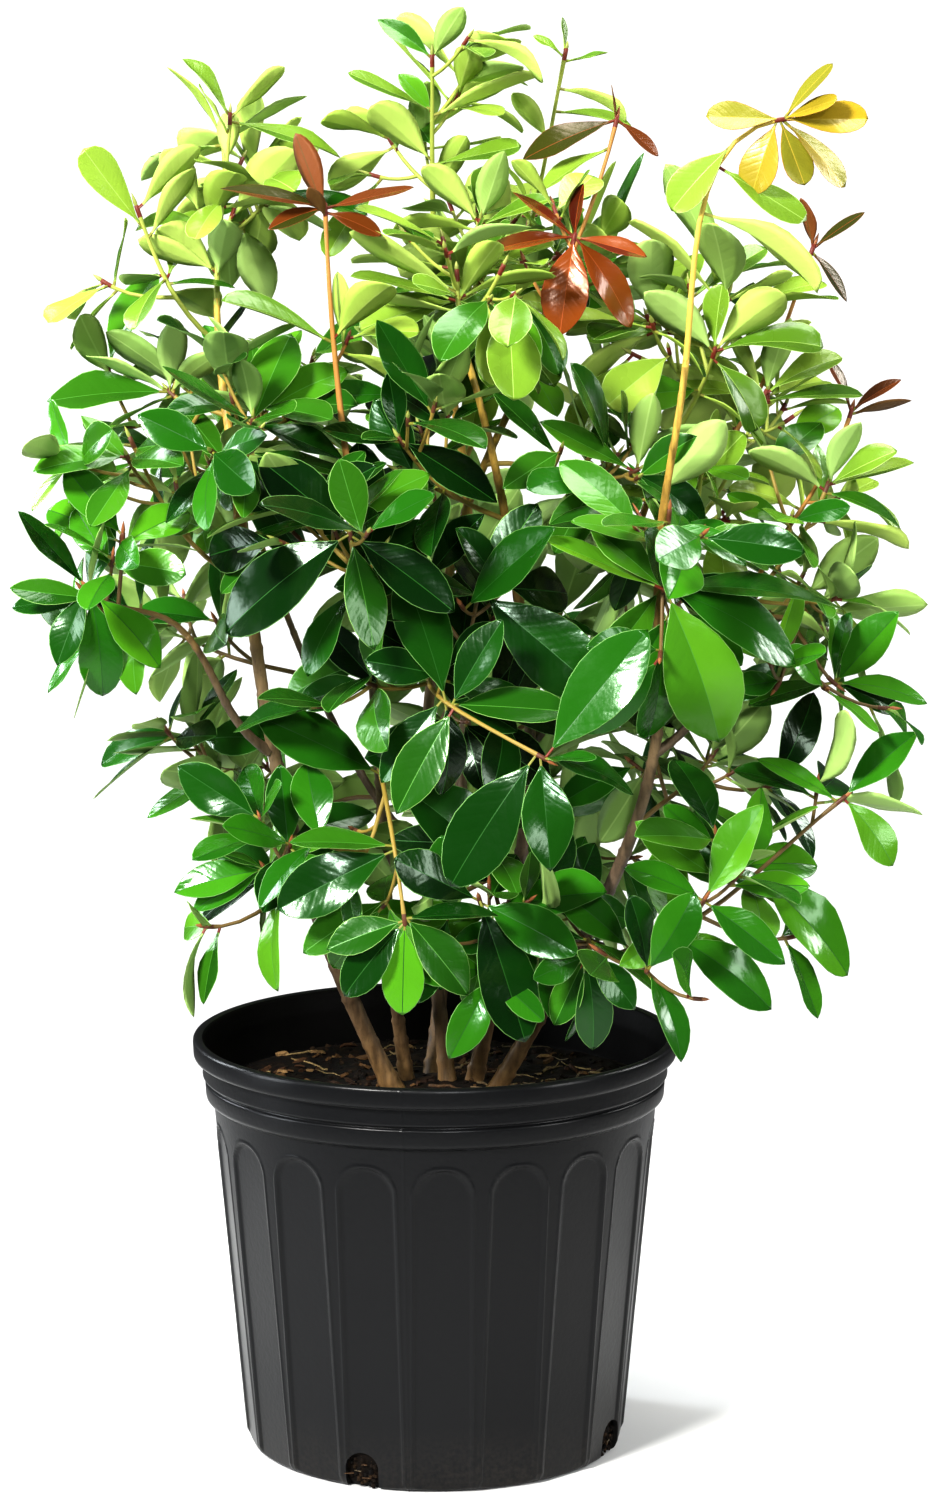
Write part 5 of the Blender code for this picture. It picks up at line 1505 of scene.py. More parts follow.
# Skins of the twigs by the tint of their mass, and the joints at their tips
TWIG_SKINS = {"dark": 0, "mid": 1, "lime": 2, "bronze": 3, "red": 3, "gold": 4}
TWIG_COLOURS = {
    "twig_brown": (0.150, 0.095, 0.032),
    "twig_tan": (0.280, 0.200, 0.040),
    "twig_green": (0.330, 0.380, 0.070),
    "twig_orange": (0.400, 0.195, 0.045),
    "twig_gold": (0.540, 0.400, 0.070),
    "joint_red": (0.150, 0.021, 0.009),
    "joint_brown": (0.105, 0.036, 0.015),
}
SPRAY_TWIGS = {"leaves_front_twig": 1, "leaves_front_low_left": 1}
RED_JOINT, BROWN_JOINT = 5, 6
BROWN_JOINT_SKINS = (0, 1)
TWIG_SIDES = 8
STEM_STATIONS = 9
TWIG_STATIONS = 5
STEM_ROOT = 0.004
ROOT_SWELL = 1.15
JOINT_LENGTH = 0.006
JOINT_SWELL = 1.35
TIP_REACH = 0.8
TWIG_ROUGHNESS = 0.50
TWIG_GLOSS_SPREAD = 0.10
TWIG_RELIEF = 0.5


def add_twig(sheaf, run, skin, stations, root=0.0):
    """One twig with a slightly swollen, redder joint under its end whorl."""
    joint_at = max(0.5, 1 - JOINT_LENGTH / run.length())
    shares = sorted({*even_shares(stations), joint_at, (1 + joint_at) / 2})
    places = [run.place(share) for share in shares]
    headings = [run.heading(share) for share in shares]
    radii = [run.radius(share) * (JOINT_SWELL if share >= joint_at else 1.0) for share in shares]
    if root:
        places.insert(0, places[0] - headings[0] * root)
        headings.insert(0, headings[0])
        radii.insert(0, radii[0] * ROOT_SWELL)
    rings = len(places)
    points = tube_points(places, headings, radii, TWIG_SIDES)
    points.append(places[-1] + headings[-1] * radii[-1] * TIP_REACH)
    faces = ring_faces(rings, TWIG_SIDES) + tip_faces(rings, TWIG_SIDES)
    joint_skin = BROWN_JOINT if skin in BROWN_JOINT_SKINS else RED_JOINT
    joint_rings = sum(share >= joint_at for share in shares) - 1
    skins = [skin] * (TWIG_SIDES * (rings - 1 - joint_rings))
    sheaf.add(points, faces, skins + [joint_skin] * (TWIG_SIDES * (joint_rings + 1)))


def build_twigs(fine_growths):
    """All stems and twigs of the masses as one piece."""
    sheaf = MeshSheaf()
    for growth in fine_growths:
        skin = SPRAY_TWIGS.get(growth.mass.name, TWIG_SKINS[growth.mass.tint])
        add_twig(sheaf, growth.growth.run, skin, STEM_STATIONS, STEM_ROOT)
        for twig in [*growth.growth.twigs, *growth.twigs]:
            add_twig(sheaf, twig, skin, TWIG_STATIONS)
    materials = [
        leaf_material(name, colour, TWIG_ROUGHNESS, spread=TWIG_GLOSS_SPREAD, relief=TWIG_RELIEF)
        for name, colour in TWIG_COLOURS.items()
    ]
    piece = sheaf.object("twigs", materials)
    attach(piece, "root")
    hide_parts(*[growth.mass.name for growth in fine_growths])


BUD_COLOURS = {
    "bud_green": (0.300, 0.330, 0.080),
    "bud_bronze": (0.300, 0.110, 0.040),
    "bud_gold": (0.560, 0.360, 0.080),
}
BUD_SKINS = {"dark": 1, "mid": 0, "lime": 0, "bronze": 1, "red": 1, "gold": 2}
BUD_ROUGHNESS = 0.45
BUD_GLOSS_SPREAD = 0.08
BUD_SEED = 71
BUD_SIDES = 6
BUD_GUARD = 0.0008
BUD_BASE = 0.0016
BUD_HEADROOM = 0.001
BUD_LENGTHS = (0.0045, 0.0080)
BUD_RADII = (0.0010, 0.0014)
BUD_PROFILE = ((0.0, 0.75), (0.25, 1.0), (0.55, 0.72), (0.85, 0.30), (1.0, 0.06))


def bud_has_room(growth, run, length):
    """Whether a bud on a twig's tip would pierce no leaf and no other twig."""
    tip, heading = run.place(1), run.heading(1)
    side = heading.orthogonal().normalized() * BUD_GUARD
    start = tip + heading * BUD_BASE
    end = tip + heading * length
    if tip.z + length >= CROWN_HIGH.z - BUD_HEADROOM:
        return False
    points = [start - side, start + side, end + side, end - side]
    return not any(growth.surroundings.touched(points, [(0, 1, 2, 3)], growth.mass.name, own)
                   for own in (False, True))


def add_bud(sheaf, run, skin, length, radius):
    """A pointed end bud."""
    heading = run.heading(1)
    rings = len(BUD_PROFILE)
    places = [run.place(1) + heading * length * share for share, _ in BUD_PROFILE]
    radii = [radius * swell for _, swell in BUD_PROFILE]
    last = (rings - 1) * BUD_SIDES
    cap = tuple(last + corner for corner in range(BUD_SIDES))
    sheaf.add(tube_points(places, [heading] * rings, radii, BUD_SIDES),
              [*ring_faces(rings, BUD_SIDES), cap], skin)


def build_buds(fine_growths):
    """The end buds of all twigs as one piece."""
    rng = random.Random(BUD_SEED)
    sheaf = MeshSheaf()
    for growth in fine_growths:
        skin = BUD_SKINS[growth.mass.tint]
        for run in [growth.growth.run, *growth.growth.twigs, *growth.twigs]:
            length = rng.uniform(*BUD_LENGTHS)
            if bud_has_room(growth, run, length):
                add_bud(sheaf, run, skin, length, rng.uniform(*BUD_RADII))
    materials = [leaf_material(name, colour, BUD_ROUGHNESS, spread=BUD_GLOSS_SPREAD)
                 for name, colour in BUD_COLOURS.items()]
    piece = sheaf.object("buds", materials)
    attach(piece, "root")


# Stems and boughs with the relief of their bark

BARK_SIDES = 20
BARK_STEP = 0.0024
BARK_TIP = 0.0004
SCAR_SPACING = 0.021
FIRST_SCAR = (0.3, 0.9)
NEXT_SCAR = (0.55, 1.45)
SCAR_WIDTH = 0.0014
SCAR_RISE = 0.17
SCAR_FURROW = 0.07
SCAR_FURROW_AWAY = 1.6

# Furrows and grain of the bark: their turns round a limb, how often they change along it, and
# how deep they go in shares of its radius
FURROW_TURNS, FURROW_RATE, FURROW_DEPTH = 2.2, 45, 0.085
GRAIN_TURNS, GRAIN_RATE, GRAIN_DEPTH = 5.0, 160, 0.050
FOOT_BURIED = 0.006
BOUGH_ROOT = 0.004
BOUGH_SWELL = 0.30
BOUGH_SWELL_LENGTH = 0.004
LIMB_TURN = 7.3


def scar_places(length, rng):
    """Distances along a limb of the ring scars that old leaf whorls leave."""
    places = []
    at = rng.uniform(*FIRST_SCAR) * SCAR_SPACING
    while at < length:
        places.append(at)
        at += SCAR_SPACING * rng.uniform(*NEXT_SCAR)
    return places


def bark_noise(angle, turns, along):
    return noise.noise(Vector((math.cos(angle) * turns, math.sin(angle) * turns, along)))


def bark_ring(place, heading, radius, relief, at, turn_seed):
    """One ring of a limb, its radius modulated by furrows along it and by its scars."""
    side, other = tube_frame(heading)
    points = []
    for corner in range(BARK_SIDES):
        angle = -math.tau * corner / BARK_SIDES
        outward = side * math.cos(angle) + other * math.sin(angle)
        furrow = bark_noise(angle, FURROW_TURNS, at * FURROW_RATE + turn_seed)
        grain = bark_noise(angle, GRAIN_TURNS, at * GRAIN_RATE + turn_seed)
        points.append(place + outward * radius * (1 + relief + FURROW_DEPTH * furrow + GRAIN_DEPTH * grain))
    return points


def swelling(place, at, flare):
    """How much wider than its taper a limb is: at a stem's foot, or where a bough starts."""
    if flare:
        return 1 + FLARE * math.exp(-max(0.0, place.z - SOIL_TOP) / FLARE_HEIGHT)
    return 1 + BOUGH_SWELL * math.exp(-max(0.0, at) / BOUGH_SWELL_LENGTH)


def build_bark(name, runs, flare, material, seed):
    """The limbs of one kind as one piece with bark relief."""
    rng = random.Random(seed)
    sheaf = MeshSheaf()
    for number, run in enumerate(runs.values()):
        length = run.length()
        scars = scar_places(length, rng)
        count = int(length / BARK_STEP)
        turn_seed = LIMB_TURN * number + rng.uniform(0, math.tau)
        points = []
        start = -FOOT_BURIED if flare else -BOUGH_ROOT
        for index in range(count + 1):
            at = start + (length - start) * index / count
            share = max(0.0, at / length)
            place = run.place(share) + run.heading(0) * min(0.0, at)
            relief = 0.0
            for scar in scars:
                away = (at - scar) / SCAR_WIDTH
                rise = SCAR_RISE * math.exp(-away * away)
                relief += rise - SCAR_FURROW * math.exp(-(away - SCAR_FURROW_AWAY) ** 2)
            radius = run.radius(share) * swelling(place, at, flare)
            points += bark_ring(place, run.heading(share), radius, relief, at, turn_seed)
        points.append(run.place(1) + run.heading(1) * BARK_TIP)
        sheaf.add(points, ring_faces(count + 1, BARK_SIDES) + tip_faces(count + 1, BARK_SIDES), 0)
    piece = sheaf.object(name, [material])
    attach(piece, "root")
    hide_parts(*runs)


# Colours up a limb, from one height to another, and those of its streaks and flecks
STEM_COLOURS = [
    (0.0, (0.170, 0.100, 0.036)), (0.16, (0.125, 0.080, 0.042)), (0.42, (0.125, 0.090, 0.064)),
    (0.80, (0.180, 0.125, 0.062)), (1.0, (0.320, 0.210, 0.060)),
]
STEM_HEIGHTS = (0.200, 0.530)
BOUGH_COLOURS = [
    (0.0, (0.085, 0.060, 0.042)), (0.47, (0.100, 0.072, 0.045)), (0.68, (0.350, 0.210, 0.050)),
    (1.0, (0.500, 0.360, 0.070)),
]
BOUGH_HEIGHTS = (0.260, 0.660)
STREAK_SHADES = [(0.30, (0.36, 0.33, 0.30)), (0.62, (1.25, 1.20, 1.12))]
FLECK_SHADES = [(0.55, (1, 1, 1)), (0.75, (0.55, 0.50, 0.46))]
BARK_SPECULAR = 0.35
BARK_BUMP = (0.55, 0.0005)
STREAKS = (260.0, 4.0, (1, 1, 0.16))
FLECKS = (900.0, 2.0, (1, 1, 0.5))
STREAK_FACTOR = 0.85
FLECK_FACTOR = 0.6
STEM_ROUGHNESS = 0.55
BOUGH_ROUGHNESS = 0.48
STEM_SEED = 11
BOUGH_SEED = 12


def bark_material(name, colours, heights, roughness):
    """Bark whose colour changes with height, streaked and flecked."""
    material, tree, shader = new_material(name, colours[0][1], roughness, BARK_SPECULAR)
    height = ranged(tree, object_height(tree), 0.0, 1.0, *heights)
    streaks = object_noise(tree, *STREAKS)
    flecks = object_noise(tree, *FLECKS)
    colour = colour_steps(tree, height, colours)
    colour = mixed(tree, "MULTIPLY", STREAK_FACTOR, colour, colour_steps(tree, streaks, STREAK_SHADES))
    colour = mixed(tree, "MULTIPLY", FLECK_FACTOR, colour, colour_steps(tree, flecks, FLECK_SHADES))
    gloss = ranged(tree, streaks, roughness - 0.15, roughness + 0.12)
    feed(tree, shader, {"Base Color": colour, "Roughness": gloss})
    bumped(tree, shader, streaks, *BARK_BUMP)
    return material


def build_wood(runs):
    stems = {stem.name: runs[stem.name] for stem in STEMS}
    boughs = {bough.name: runs[bough.name] for bough in BOUGHS}
    stem_bark = bark_material("stem_bark", STEM_COLOURS, STEM_HEIGHTS, STEM_ROUGHNESS)
    bough_bark = bark_material("bough_bark", BOUGH_COLOURS, BOUGH_HEIGHTS, BOUGH_ROUGHNESS)
    build_bark("stems_bark", stems, True, stem_bark, STEM_SEED)
    build_bark("boughs_bark", boughs, False, bough_bark, BOUGH_SEED)


# The pot with its moulded panels, bands and seam

WALL_SLOPE = (WALL_TOP_RADIUS - BASE_RADIUS) / (WALL_TOP - BASE_ROUNDING)
SECTOR = math.tau / PANEL_COUNT
SECTOR_SHARES = 24
SECTOR_EASE = 0.72
EDGE_SAMPLES = (-0.0150, -0.0075, 0.0, 0.0045, 0.0085, 0.0125, 0.0170)
COLUMN_GUARD = 0.0004
PANEL_ROW_STEP = 0.0080
ARCH_ROW_STEP = 0.0008
ARCH_HEIGHT = 0.022
ARCH_ROOM = 0.004
FILLET_STEPS = 4
FILLET_SHARE = 0.48
ARCH_STEPS = 24
CUTTER_FOOT = -0.010
LIP_DROOP = 0.0005
BEAD_HEIGHT = 0.00045
BEAD_AWAY = 0.0010
BEAD_WIDTH = 0.0006
SEAM_WIDTH = 0.0007
SEAM_REACH = 0.05
SEAM_SAMPLES = (-0.0016, -0.0008, -0.0004, 0.0, 0.0004, 0.0008, 0.0016)
SEAM_TURNS = (SEAM_TURN, SEAM_TURN + math.pi)
RELIEF_RADIUS = 0.09
RELIEF_TOP = PANEL_ARCH_TOP + 0.003
SHARP_ANGLE = math.radians(48)


def wall_radius(height):
    """Outer radius of the tapered wall at a height."""
    return BASE_RADIUS + WALL_SLOPE * (height - BASE_ROUNDING)


def filleted(corners):
    """A profile with each corner (radius, height, fillet) rounded off."""
    profile = []
    for index, (radius, height, fillet) in enumerate(corners):
        corner = Vector((radius, height))
        if fillet <= 0 or index in (0, len(corners) - 1):
            profile.append(corner)
            continue
        before = Vector(corners[index - 1][:2]) - corner
        after = Vector(corners[index + 1][:2]) - corner
        start = corner + before.normalized() * min(fillet, before.length * FILLET_SHARE)
        end = corner + after.normalized() * min(fillet, after.length * FILLET_SHARE)
        for t in even_shares(FILLET_STEPS):
            profile.append(start * (1 - t) ** 2 + corner * (2 * t * (1 - t)) + end * t * t)
    return profile


def pot_profile():
    """Radius and height from the inner floor, over the rim and down to the middle of the base."""
    rim_foot = POT_HEIGHT - RIM_HEIGHT
    groove_top = rim_foot - BAND_HEIGHT
    groove_foot = groove_top - GROOVE_HEIGHT
    band_inner = LOWER_BAND_RADIUS - WALL_THICKNESS
    upper = filleted([
        (0, WALL_THICKNESS, 0),
        (wall_radius(WALL_THICKNESS) - WALL_THICKNESS, WALL_THICKNESS, 0.004),
        (WALL_TOP_RADIUS - WALL_THICKNESS, WALL_TOP, 0.003),
        (band_inner, WALL_TOP + WALL_THICKNESS, 0.002),
        (band_inner + 0.001, rim_foot, 0.002),
        (RIM_INNER_RADIUS, POT_HEIGHT, 0.0028),
        (RIM_RADIUS, POT_HEIGHT, 0.0030),
        (RIM_RADIUS - LIP_DROOP, rim_foot + 0.0010, 0.0018),
        (RIM_RADIUS - 0.0026, rim_foot, 0.0012),
        (UPPER_BAND_RADIUS - 0.0004, rim_foot - 0.0006, 0.0010),
        (UPPER_BAND_RADIUS, groove_top + 0.0004, 0.0012),
        (GROOVE_RADIUS, groove_top - 0.0004, 0.0008),
        (GROOVE_RADIUS, groove_foot + 0.0004, 0.0008),
        (LOWER_BAND_RADIUS, groove_foot - 0.0004, 0.0012),
        (LOWER_BAND_RADIUS - 0.0006, WALL_TOP + 0.0030, 0.0016),
        (WALL_TOP_RADIUS, WALL_TOP, 0.0024),
    ])
    rows = [PANEL_ARCH_TOP + ARCH_ROOM]
    while rows[-1] > PANEL_ARCH_TOP - ARCH_HEIGHT:
        rows.append(rows[-1] - ARCH_ROW_STEP)
    while rows[-1] > BASE_ROUNDING + PANEL_ROW_STEP:
        rows.append(rows[-1] - PANEL_ROW_STEP)
    wall = [Vector((wall_radius(height), height)) for height in rows]
    foot = filleted([
        (wall_radius(BASE_ROUNDING + 0.001), BASE_ROUNDING + 0.001, 0),
        (BASE_RADIUS, BASE_ROUNDING, 0.002),
        (BASE_RADIUS - BASE_ROUNDING * 0.3, BASE_ROUNDING * 0.3, 0.002),
        (BASE_RADIUS - BASE_ROUNDING, 0, 0.001),
        (0.020, 0, 0),
    ])
    return upper + wall + foot + [Vector((0, 0))]


def smooth_step(value):
    value = min(1.0, max(0.0, value))
    return value * value * (3 - 2 * value)


def pot_columns():
    """Angles round the pot, close together at the panels' edges and at the two seams."""
    columns = set()
    for index in range(PANEL_COUNT):
        centre = PANEL_TURN + SECTOR * index
        for step in range(SECTOR_SHARES + 1):
            share = 2 * step / SECTOR_SHARES - 1
            eased = math.copysign(abs(share) ** SECTOR_EASE, share)
            columns.add(round(centre + eased * SECTOR / 2, 6))
        for edge in (-1, 1):
            for away in EDGE_SAMPLES:
                columns.add(round(centre + edge * (PANEL_ANGLE / 2 + away), 6))
    for seam in SEAM_TURNS:
        for away in SEAM_SAMPLES:
            columns.add(round(seam + away / WALL_TOP_RADIUS, 6))
    first = PANEL_TURN - SECTOR / 2
    wrapped = sorted({round((angle - first) % math.tau, 5) for angle in columns})
    if math.tau - wrapped[-1] < COLUMN_GUARD:
        wrapped.pop()
    return [first + angle for angle in wrapped]


def panel_inset(angle, height, radius):
    """How far the wall stands back at a place for the panel it lies in, or out for its bead."""
    half_panel = wall_radius(PANEL_ARCH_TOP / 2) * math.sin(PANEL_ANGLE / 2)
    panel_floor = wall_radius(0) * math.cos(PANEL_ANGLE / 2) - PANEL_EDGE_DEPTH
    away = (angle - PANEL_TURN + SECTOR / 2) % SECTOR - SECTOR / 2
    across = radius * math.sin(away)
    spring = PANEL_ARCH_TOP - half_panel
    if height <= spring:
        inside = half_panel - abs(across)
    else:
        inside = half_panel - math.hypot(across, height - spring)
    if inside <= 0:
        return -BEAD_HEIGHT * math.exp(-((inside + BEAD_AWAY) / BEAD_WIDTH) ** 2)
    plane = (panel_floor + WALL_SLOPE * height) / math.cos(away)
    return max(0.0, radius - plane) * smooth_step(inside / PANEL_EDGE_WIDTH)


def seam_height(angle, radius):
    """Height of the mould's parting line, front and back."""
    for seam in SEAM_TURNS:
        away = (angle - seam + math.pi) % math.tau - math.pi
        if abs(away) < SEAM_REACH:
            return SEAM_HEIGHT * math.exp(-(away * radius / SEAM_WIDTH) ** 2)
    return 0.0


def drain_cutter(index):
    """A closed upright arch that reaches through the wall, leaning with it, at one drain hole."""
    half_width = DRAIN_WIDTH / 2
    near = wall_radius(0) - 2 * WALL_THICKNESS - PANEL_EDGE_DEPTH
    turn = Matrix.Rotation(DRAIN_TURN + math.tau * index / DRAIN_COUNT, 4, "Z")
    lean = Matrix.Rotation(math.atan(WALL_SLOPE), 4, "Y")
    outline = [(-half_width, CUTTER_FOOT), (half_width, CUTTER_FOOT)]
    for step in range(ARCH_STEPS + 1):
        angle = math.pi * step / ARCH_STEPS
        rise = half_width * math.sin(angle)
        outline.append((half_width * math.cos(angle), DRAIN_TOP - half_width + rise))
    shape = bmesh.new()
    face = shape.faces.new([shape.verts.new((0, across, height)) for across, height in outline])
    pulled = bmesh.ops.extrude_face_region(shape, geom=[face])
    moved = [item for item in pulled["geom"] if isinstance(item, bmesh.types.BMVert)]
    bmesh.ops.translate(shape, verts=moved, vec=(RIM_RADIUS - near, 0, 0))
    bmesh.ops.recalc_face_normals(shape, faces=shape.faces)
    shape.transform(turn @ Matrix.Translation((near, 0, 0)) @ lean)
    return shape_object(f"drain_cutter_{index}", shape)


def cut_by(thing, cutters):
    """Cuts the cutters out of a piece for good and takes the cutters away."""
    for cutter in cutters:
        cut = thing.modifiers.new("Cut", "BOOLEAN")
        cut.operation = "DIFFERENCE"
        cut.solver = "EXACT"
        cut.object = cutter
    graph = bpy.context.evaluated_depsgraph_get()
    mesh = bpy.data.meshes.new_from_object(thing.evaluated_get(graph))
    thing.modifiers.clear()
    thing.data = mesh
    for cutter in cutters:
        bpy.data.objects.remove(cutter)


POT_BLACK = (0.0044, 0.0048, 0.0057)
POT_SPECULAR = 0.22
POT_GLOSS = (0.22, 0.40)
# The pot's inside: a darker, duller copy of its plastic, as painted shade inside the pot
INSIDE_PAINTED_SHADE_BLACK = (0.0012, 0.0012, 0.0013)
INSIDE_SPECULAR = 0.05
INSIDE_GLOSS = (0.45, 0.60)
INSIDE_FACING = -0.5
DUST = (0.036, 0.030, 0.024)
DUST_HEIGHT = 0.040
DUST_EVERYWHERE = 0.03
SMUDGES = (26.0, 6.0)
SPECKS = (420.0, 3.0)
SPECK_RANGE = (-0.6, 1.2)
GLOSS_CLOUDS = (14.0, 5.0)
PEEL = (330.0, 3.0)
PEEL_BUMP = (0.18, 0.0006)


def pot_material(name, black, specular, gloss_range):
    """Satin black blow-moulded plastic: faint orange peel, uneven gloss, dust at the foot."""
    material, tree, shader = new_material(name, black, gloss_range[0], specular)
    low = ranged(tree, object_height(tree), 1.0, 0.0, 0.0, DUST_HEIGHT)
    smudges = ranged(tree, object_noise(tree, *SMUDGES), 0.0, 1.0)
    specks = ranged(tree, object_noise(tree, *SPECKS), *SPECK_RANGE)
    dust = calculated(tree, "MULTIPLY", specks, smudges)
    dusty = calculated(tree, "MULTIPLY_ADD", dust, low, DUST_EVERYWHERE, clamped=True)
    gloss = ranged(tree, object_noise(tree, *GLOSS_CLOUDS), *gloss_range)
    colour = mixed(tree, "MIX", dusty, (*black, 1), (*DUST, 1))
    feed(tree, shader, {"Base Color": colour, "Roughness": gloss})
    bumped(tree, shader, object_noise(tree, *PEEL), *PEEL_BUMP)
    return material


def pot_rows(shape):
    """The pot's rings of points, from the inner floor to the middle of the base."""
    columns = pot_columns()
    profile = pot_profile()
    rim_top = max(range(len(profile)), key=lambda index: (profile[index].y, profile[index].x))
    rows = []
    for number, (radius, height) in enumerate(profile):
        if radius == 0:
            rows.append([shape.verts.new((0, 0, height))])
            continue
        row = []
        outer_wall = number > rim_top and radius > RELIEF_RADIUS
        for angle in columns:
            reach = radius
            if outer_wall and height < RELIEF_TOP:
                reach -= panel_inset(angle, height, radius)
            if outer_wall:
                reach += seam_height(angle, radius)
            row.append(shape.verts.new((reach * math.cos(angle), reach * math.sin(angle), height)))
        rows.append(row)
    return rows


def build_pot():
    shape = bmesh.new()
    rows = pot_rows(shape)
    for upper, lower in zip(rows, rows[1:]):
        count = max(len(upper), len(lower))
        for index in range(count):
            after = (index + 1) % count
            if len(upper) == 1:
                shape.faces.new((upper[0], lower[after], lower[index]))
            elif len(lower) == 1:
                shape.faces.new((upper[index], upper[after], lower[0]))
            else:
                shape.faces.new((upper[index], upper[after], lower[after], lower[index]))
    bmesh.ops.recalc_face_normals(shape, faces=shape.faces)
    pot = shape_object("pot_shell", shape)
    cut_by(pot, [drain_cutter(index) for index in range(DRAIN_COUNT)])
    pot.data.materials.clear()
    pot.data.materials.append(pot_material("pot_plastic", POT_BLACK, POT_SPECULAR, POT_GLOSS))
    pot.data.materials.append(pot_material("pot_inside", INSIDE_PAINTED_SHADE_BLACK, INSIDE_SPECULAR, INSIDE_GLOSS))
    # Faces that look into the pot take the darker copy: painted shade inside the pot
    for face in pot.data.polygons:
        outward = Vector((face.center.x, face.center.y, 0)).normalized()
        face.material_index = 1 if face.normal.dot(outward) < INSIDE_FACING else 0
    pot.data.polygons.foreach_set("use_smooth", [True] * len(pot.data.polygons))
    pot.data.set_sharp_from_angle(angle=SHARP_ANGLE)
    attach(pot, "root")
    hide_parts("pot")


# Soil, with its crumbs, bark chips, straw and roots

SOIL_RADIUS = 0.1288
SOIL_RINGS = 62
SOIL_SPOKES = 220
SOIL_RISE = 0.0030
SOIL_LEAST = 0.0002
SOIL_MOUND = 0.0035
SOIL_MOUND_RADIUS = 0.045
SOIL_EDGE = 0.012
SOIL_EDGE_SHARE = 0.35
SOIL_LUMPS = ((55, 3.1, 0.0026), (190, 8.4, 0.0014), (520, 1.7, 0.0006))
FOOT_ROOM = 0.009
LOOSE_SEED = 404
CRUMB_COUNT = 520
CHIP_COUNT = 210
STRAW_COUNT = 46
ROOT_COUNT = 18
ROOT_REACH = 0.05
HOLE_CRUMBS = 34
HOLE_STRAWS = 4
HOLE_BACK = 0.0006
RESTING = 0.0008
WALL_ROOM = 0.004
CHIP_WALL_ROOM = 0.009
STRAW_WALL_ROOM = 0.014
CRUMB_SIZES = (0.0016, 0.0046)
CHIP_LENGTHS = (0.004, 0.014)
CHIP_BREADTHS = (0.28, 0.6)
CHIP_DEPTHS = (0.0010, 0.0024)
STRAW_LENGTHS = (0.010, 0.034)
STRAW_RADII = (0.0004, 0.0008)
ROOT_LENGTHS = (0.018, 0.055)
ROOT_RADII = (0.0005, 0.0012)
HOLE_CRUMB_SIZES = (0.0016, 0.0038)
HOLE_STRAW_LENGTHS = (0.003, 0.006)
HOLE_STRAW_RADIUS = 0.0004
STRAW_WAVES = 0.10
ROOT_WAVES = 0.35
HOLE_STRAW_WAVES = 0.2
LUMP_SIDES = 6
STRAND_SIDES = 6
STRAND_STEP = 0.0035


def soil_height(x, y):
    """Height of the crumbly surface over the level solid: highest round the stems."""
    away = math.hypot(x, y)
    lumps, crumbs, grains = (noise.noise(Vector((x * scale, y * scale, level))) * size
                             for scale, level, size in SOIL_LUMPS)
    mound = SOIL_MOUND * math.exp(-(away / SOIL_MOUND_RADIUS) ** 2)
    edge = smooth_step((SOIL_RADIUS - away) / SOIL_EDGE)
    rise = (SOIL_RISE + lumps + crumbs + grains + mound) * (SOIL_EDGE_SHARE + (1 - SOIL_EDGE_SHARE) * edge)
    return SOIL_TOP + max(SOIL_LEAST, rise)


def build_soil_surface(material):
    points = [(0, 0, soil_height(0, 0))]
    for ring in range(1, SOIL_RINGS + 1):
        radius = SOIL_RADIUS * ring / SOIL_RINGS
        for spoke in range(SOIL_SPOKES):
            angle = math.tau * spoke / SOIL_SPOKES
            x, y = radius * math.cos(angle), radius * math.sin(angle)
            points.append((x, y, soil_height(x, y)))
    middle = [(0, 1 + spoke, 1 + (spoke + 1) % SOIL_SPOKES) for spoke in range(SOIL_SPOKES)]
    sheaf = MeshSheaf()
    sheaf.add(points, middle + ring_faces(SOIL_RINGS, SOIL_SPOKES, first=1), 0)
    piece = sheaf.object("soil_surface", [material])
    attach(piece, "root")


def add_chunk(sheaf, rng, place, size, skin):
    """A crumb or chip: a jittered, flattened six-sided lump, turned at random."""
    long, broad, thick = size
    turn = Matrix.Rotation(rng.uniform(0, math.tau), 3, "Z")
    tilt = Matrix.Rotation(rng.uniform(-0.6, 0.6), 3, "X") @ Matrix.Rotation(rng.uniform(-0.5, 0.5), 3, "Y")
    points = []
    for height in (-1, 1):
        for corner in range(LUMP_SIDES):
            angle = math.tau * corner / LUMP_SIDES
            reach = rng.uniform(0.75, 1.05) * (0.86 if height > 0 else 1.0)
            spot = Vector((long / 2 * math.cos(angle) * reach, broad / 2 * math.sin(angle) * reach,
                           thick / 2 * height * rng.uniform(0.7, 1.0)))
            points.append(Vector(place) + turn @ (tilt @ spot))
    faces = [tuple(range(LUMP_SIDES - 1, -1, -1)), tuple(range(LUMP_SIDES, 2 * LUMP_SIDES))]
    for corner in range(LUMP_SIDES):
        after = (corner + 1) % LUMP_SIDES
        faces.append((corner, after, after + LUMP_SIDES, corner + LUMP_SIDES))
    sheaf.add(points, faces, skin)


def add_strand(sheaf, rng, start, heading, length, radius, skin, waves, level=True):
    """A straw or a thin root that wanders over the soil."""
    steps = max(4, int(length / STRAND_STEP))
    places = [Vector(start)]
    turn = heading
    for step in range(steps):
        turn += rng.uniform(-waves, waves)
        ahead = places[-1] + Vector((math.cos(turn), math.sin(turn), 0)) * length / steps
        if level:
            if math.hypot(ahead.x, ahead.y) > SOIL_RADIUS - WALL_ROOM:
                break
            ahead.z = soil_height(ahead.x, ahead.y) + radius * 0.5
        places.append(ahead)
    rings = len(places)
    if rings < 3:
        return
    headings = [(b - a).normalized() for a, b in zip(places, places[1:])]
    headings.append(headings[-1])
    radii = [radius * (1 - 0.5 * index / rings) for index in range(rings)]
    near = tuple(range(STRAND_SIDES))
    far = tuple((rings - 1) * STRAND_SIDES + corner for corner in reversed(near))
    sheaf.add(tube_points(places, headings, radii, STRAND_SIDES),
              [*ring_faces(rings, STRAND_SIDES), near, far], skin)


